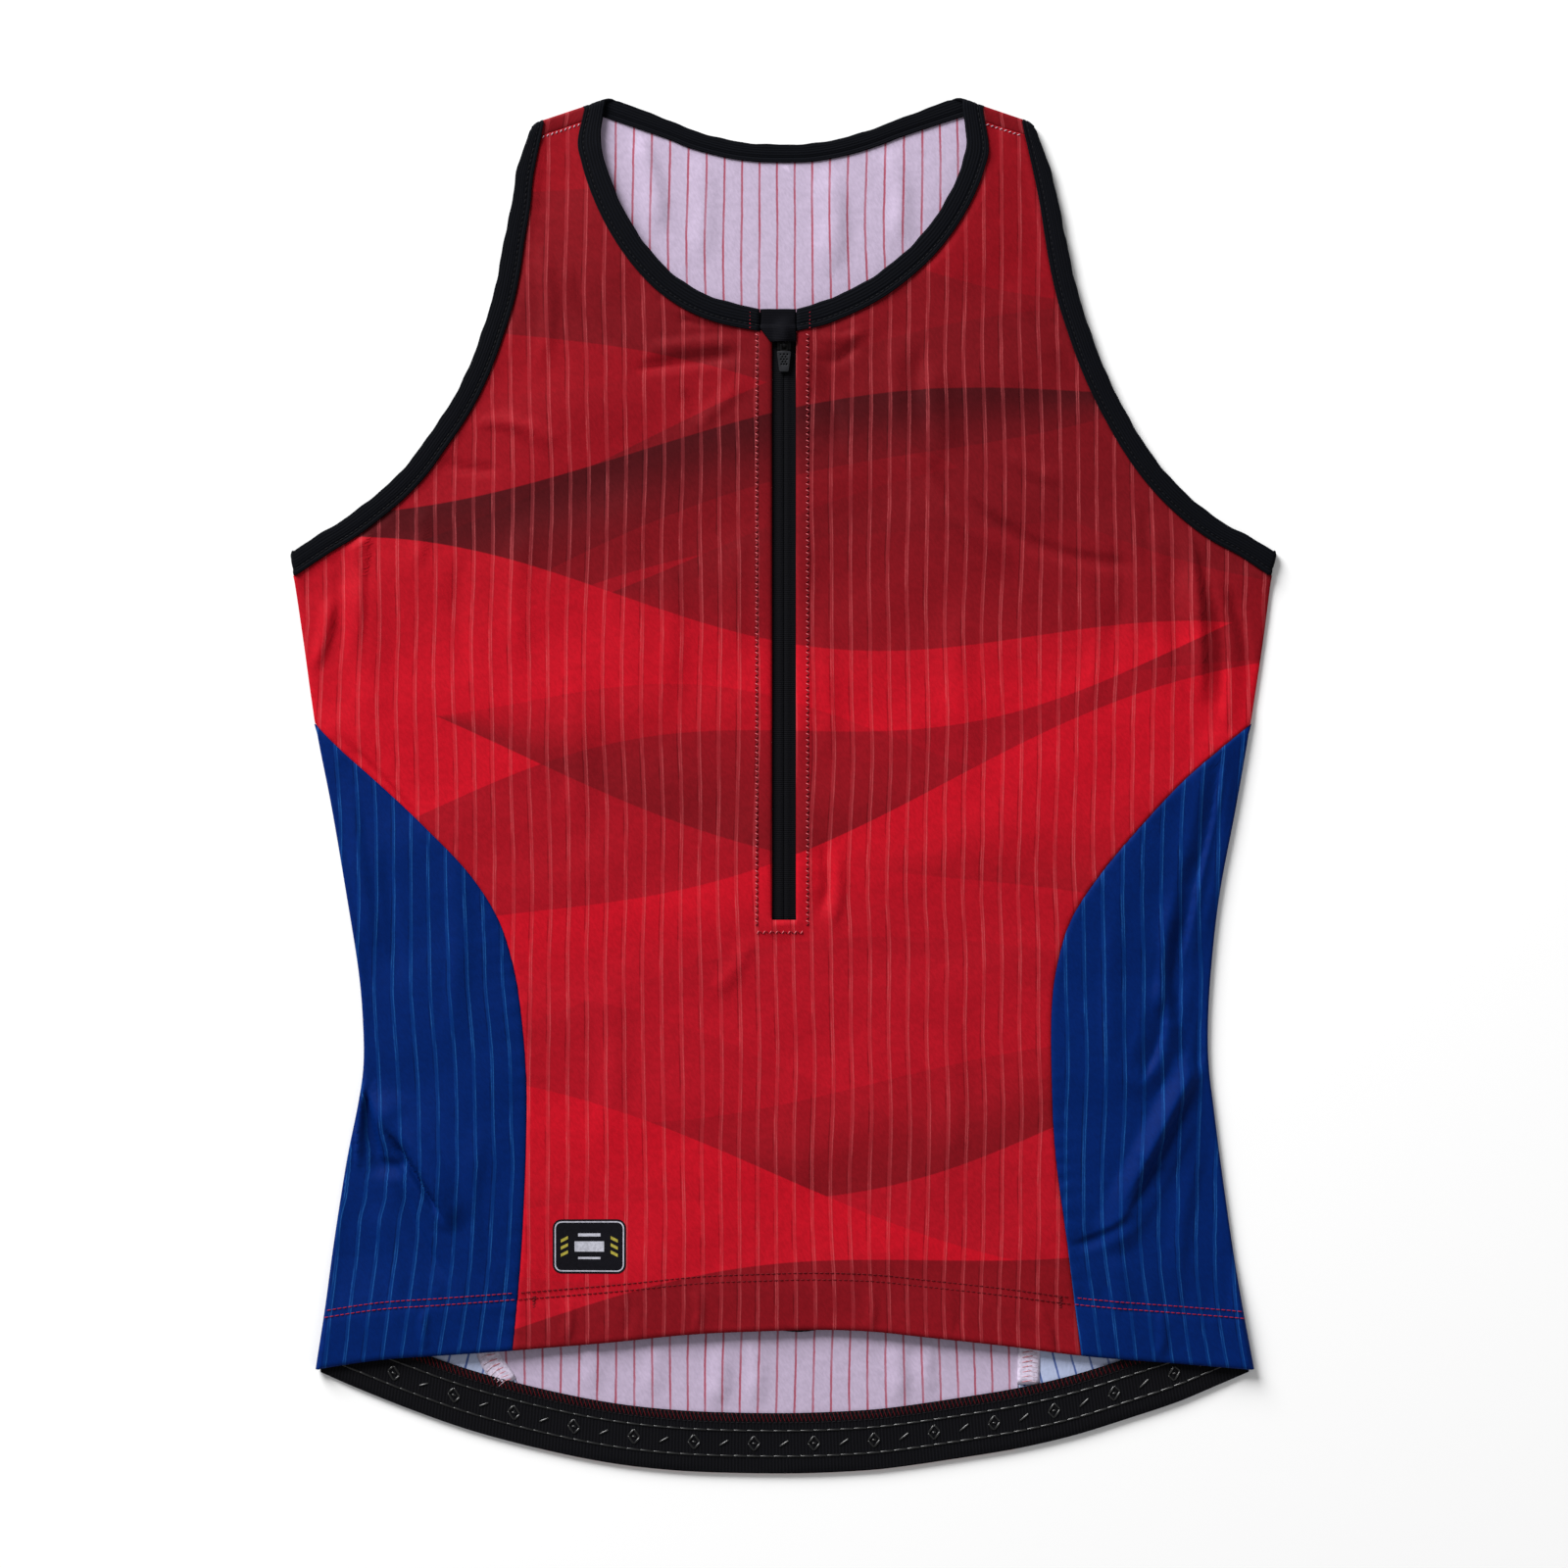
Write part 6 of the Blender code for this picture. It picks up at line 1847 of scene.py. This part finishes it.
back = dress(back_cloth(), "back_panel")
front = dress(front_cloth(), "front_panel")
band = dress(hem_band(), "hem_band")
for each in SIDES:
    side_piece = dress(side_cloth(each), f"side_panel_{each}")
    rib = dress(armhole_rib(each), f"armhole_binding_{each}")
    tape = dress(zip_tape(each), f"zip_tape_{each}")
    allowance, *sewing = seam_tape(each)
    dress(allowance, None)
    for piece in sewing:
        dress(piece, None)
rib = dress(neck_rib(), "neck_binding")
cap = dress(garage(), "zip_garage")
dress(zip_coil(), "zip_chain")
pull_tab, pull_loop = zip_pull()
dress(pull_tab, "zip_pull", "zip_pull")
dress(pull_loop, None, "zip_pull")
for piece in [*zip_stitches(), *hem_stitches(), shoulder_stitches(), *tacks()]:
    dress(piece, None)
for piece in binding_threads():
    dress(piece, None)
for piece in [*band_stitches(), grip_lines()]:
    dress(piece, None)
dress(badge(), None)

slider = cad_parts["zip_slider"]
slider.data.materials.clear()
slider.data.materials.append(LACQUER)


# ---- stage


FRAME_WIDTH = 704  # what the picture takes in, at the cloth
LENS = 85
SENSOR = 36
FLOOR_REACH, FLOOR_LEVEL = 4000, -0.15
PAPER = (0.97, 0.97, 0.97)
LIGHTS = (  # name, place in metres, size, power
    ("key", (-2.6, 3.7, 2.1), 2.8, 500),
    ("fill", (2.4, -1.8, 2.4), 2.4, 13),
)
SKY = 0.27  # strength of the even light from all sides


def add_camera():
    camera = bpy.data.cameras.new("camera")
    camera.lens = LENS
    camera.sensor_width = SENSOR
    camera.clip_end = 20
    made = bpy.data.objects.new("camera", camera)
    made.location = (0, 0, (FRAME_WIDTH * LENS / SENSOR + BODY_LEVEL) * MM)
    bpy.context.scene.collection.objects.link(made)
    bpy.context.scene.camera = made


def add_light(name, place, size, power):
    light = bpy.data.lights.new(name, "AREA")
    light.shape = "DISK"
    light.size = size
    light.energy = power
    made = bpy.data.objects.new(name, light)
    made.location = place
    made.rotation_euler = (-Vector(place)).to_track_quat("-Z", "Y").to_euler()
    bpy.context.scene.collection.objects.link(made)


def add_floor():
    corners = ((-1, -1), (1, -1), (1, 1), (-1, 1))
    points = [(x * FLOOR_REACH, y * FLOOR_REACH, FLOOR_LEVEL) for x, y in corners]
    add_object("floor", points, [(0, 1, 2, 3)], [Shader("paper", PAPER, 0.9).material])


add_camera()
add_floor()
for light in LIGHTS:
    add_light(*light)
world = bpy.data.worlds.new("studio")
world.use_nodes = True
sky = world.node_tree.nodes["Background"].inputs
sky["Color"].default_value = (1, 1, 1, 1)
sky["Strength"].default_value = SKY
bpy.context.scene.world = world
bpy.context.scene.view_settings.view_transform = "Standard"
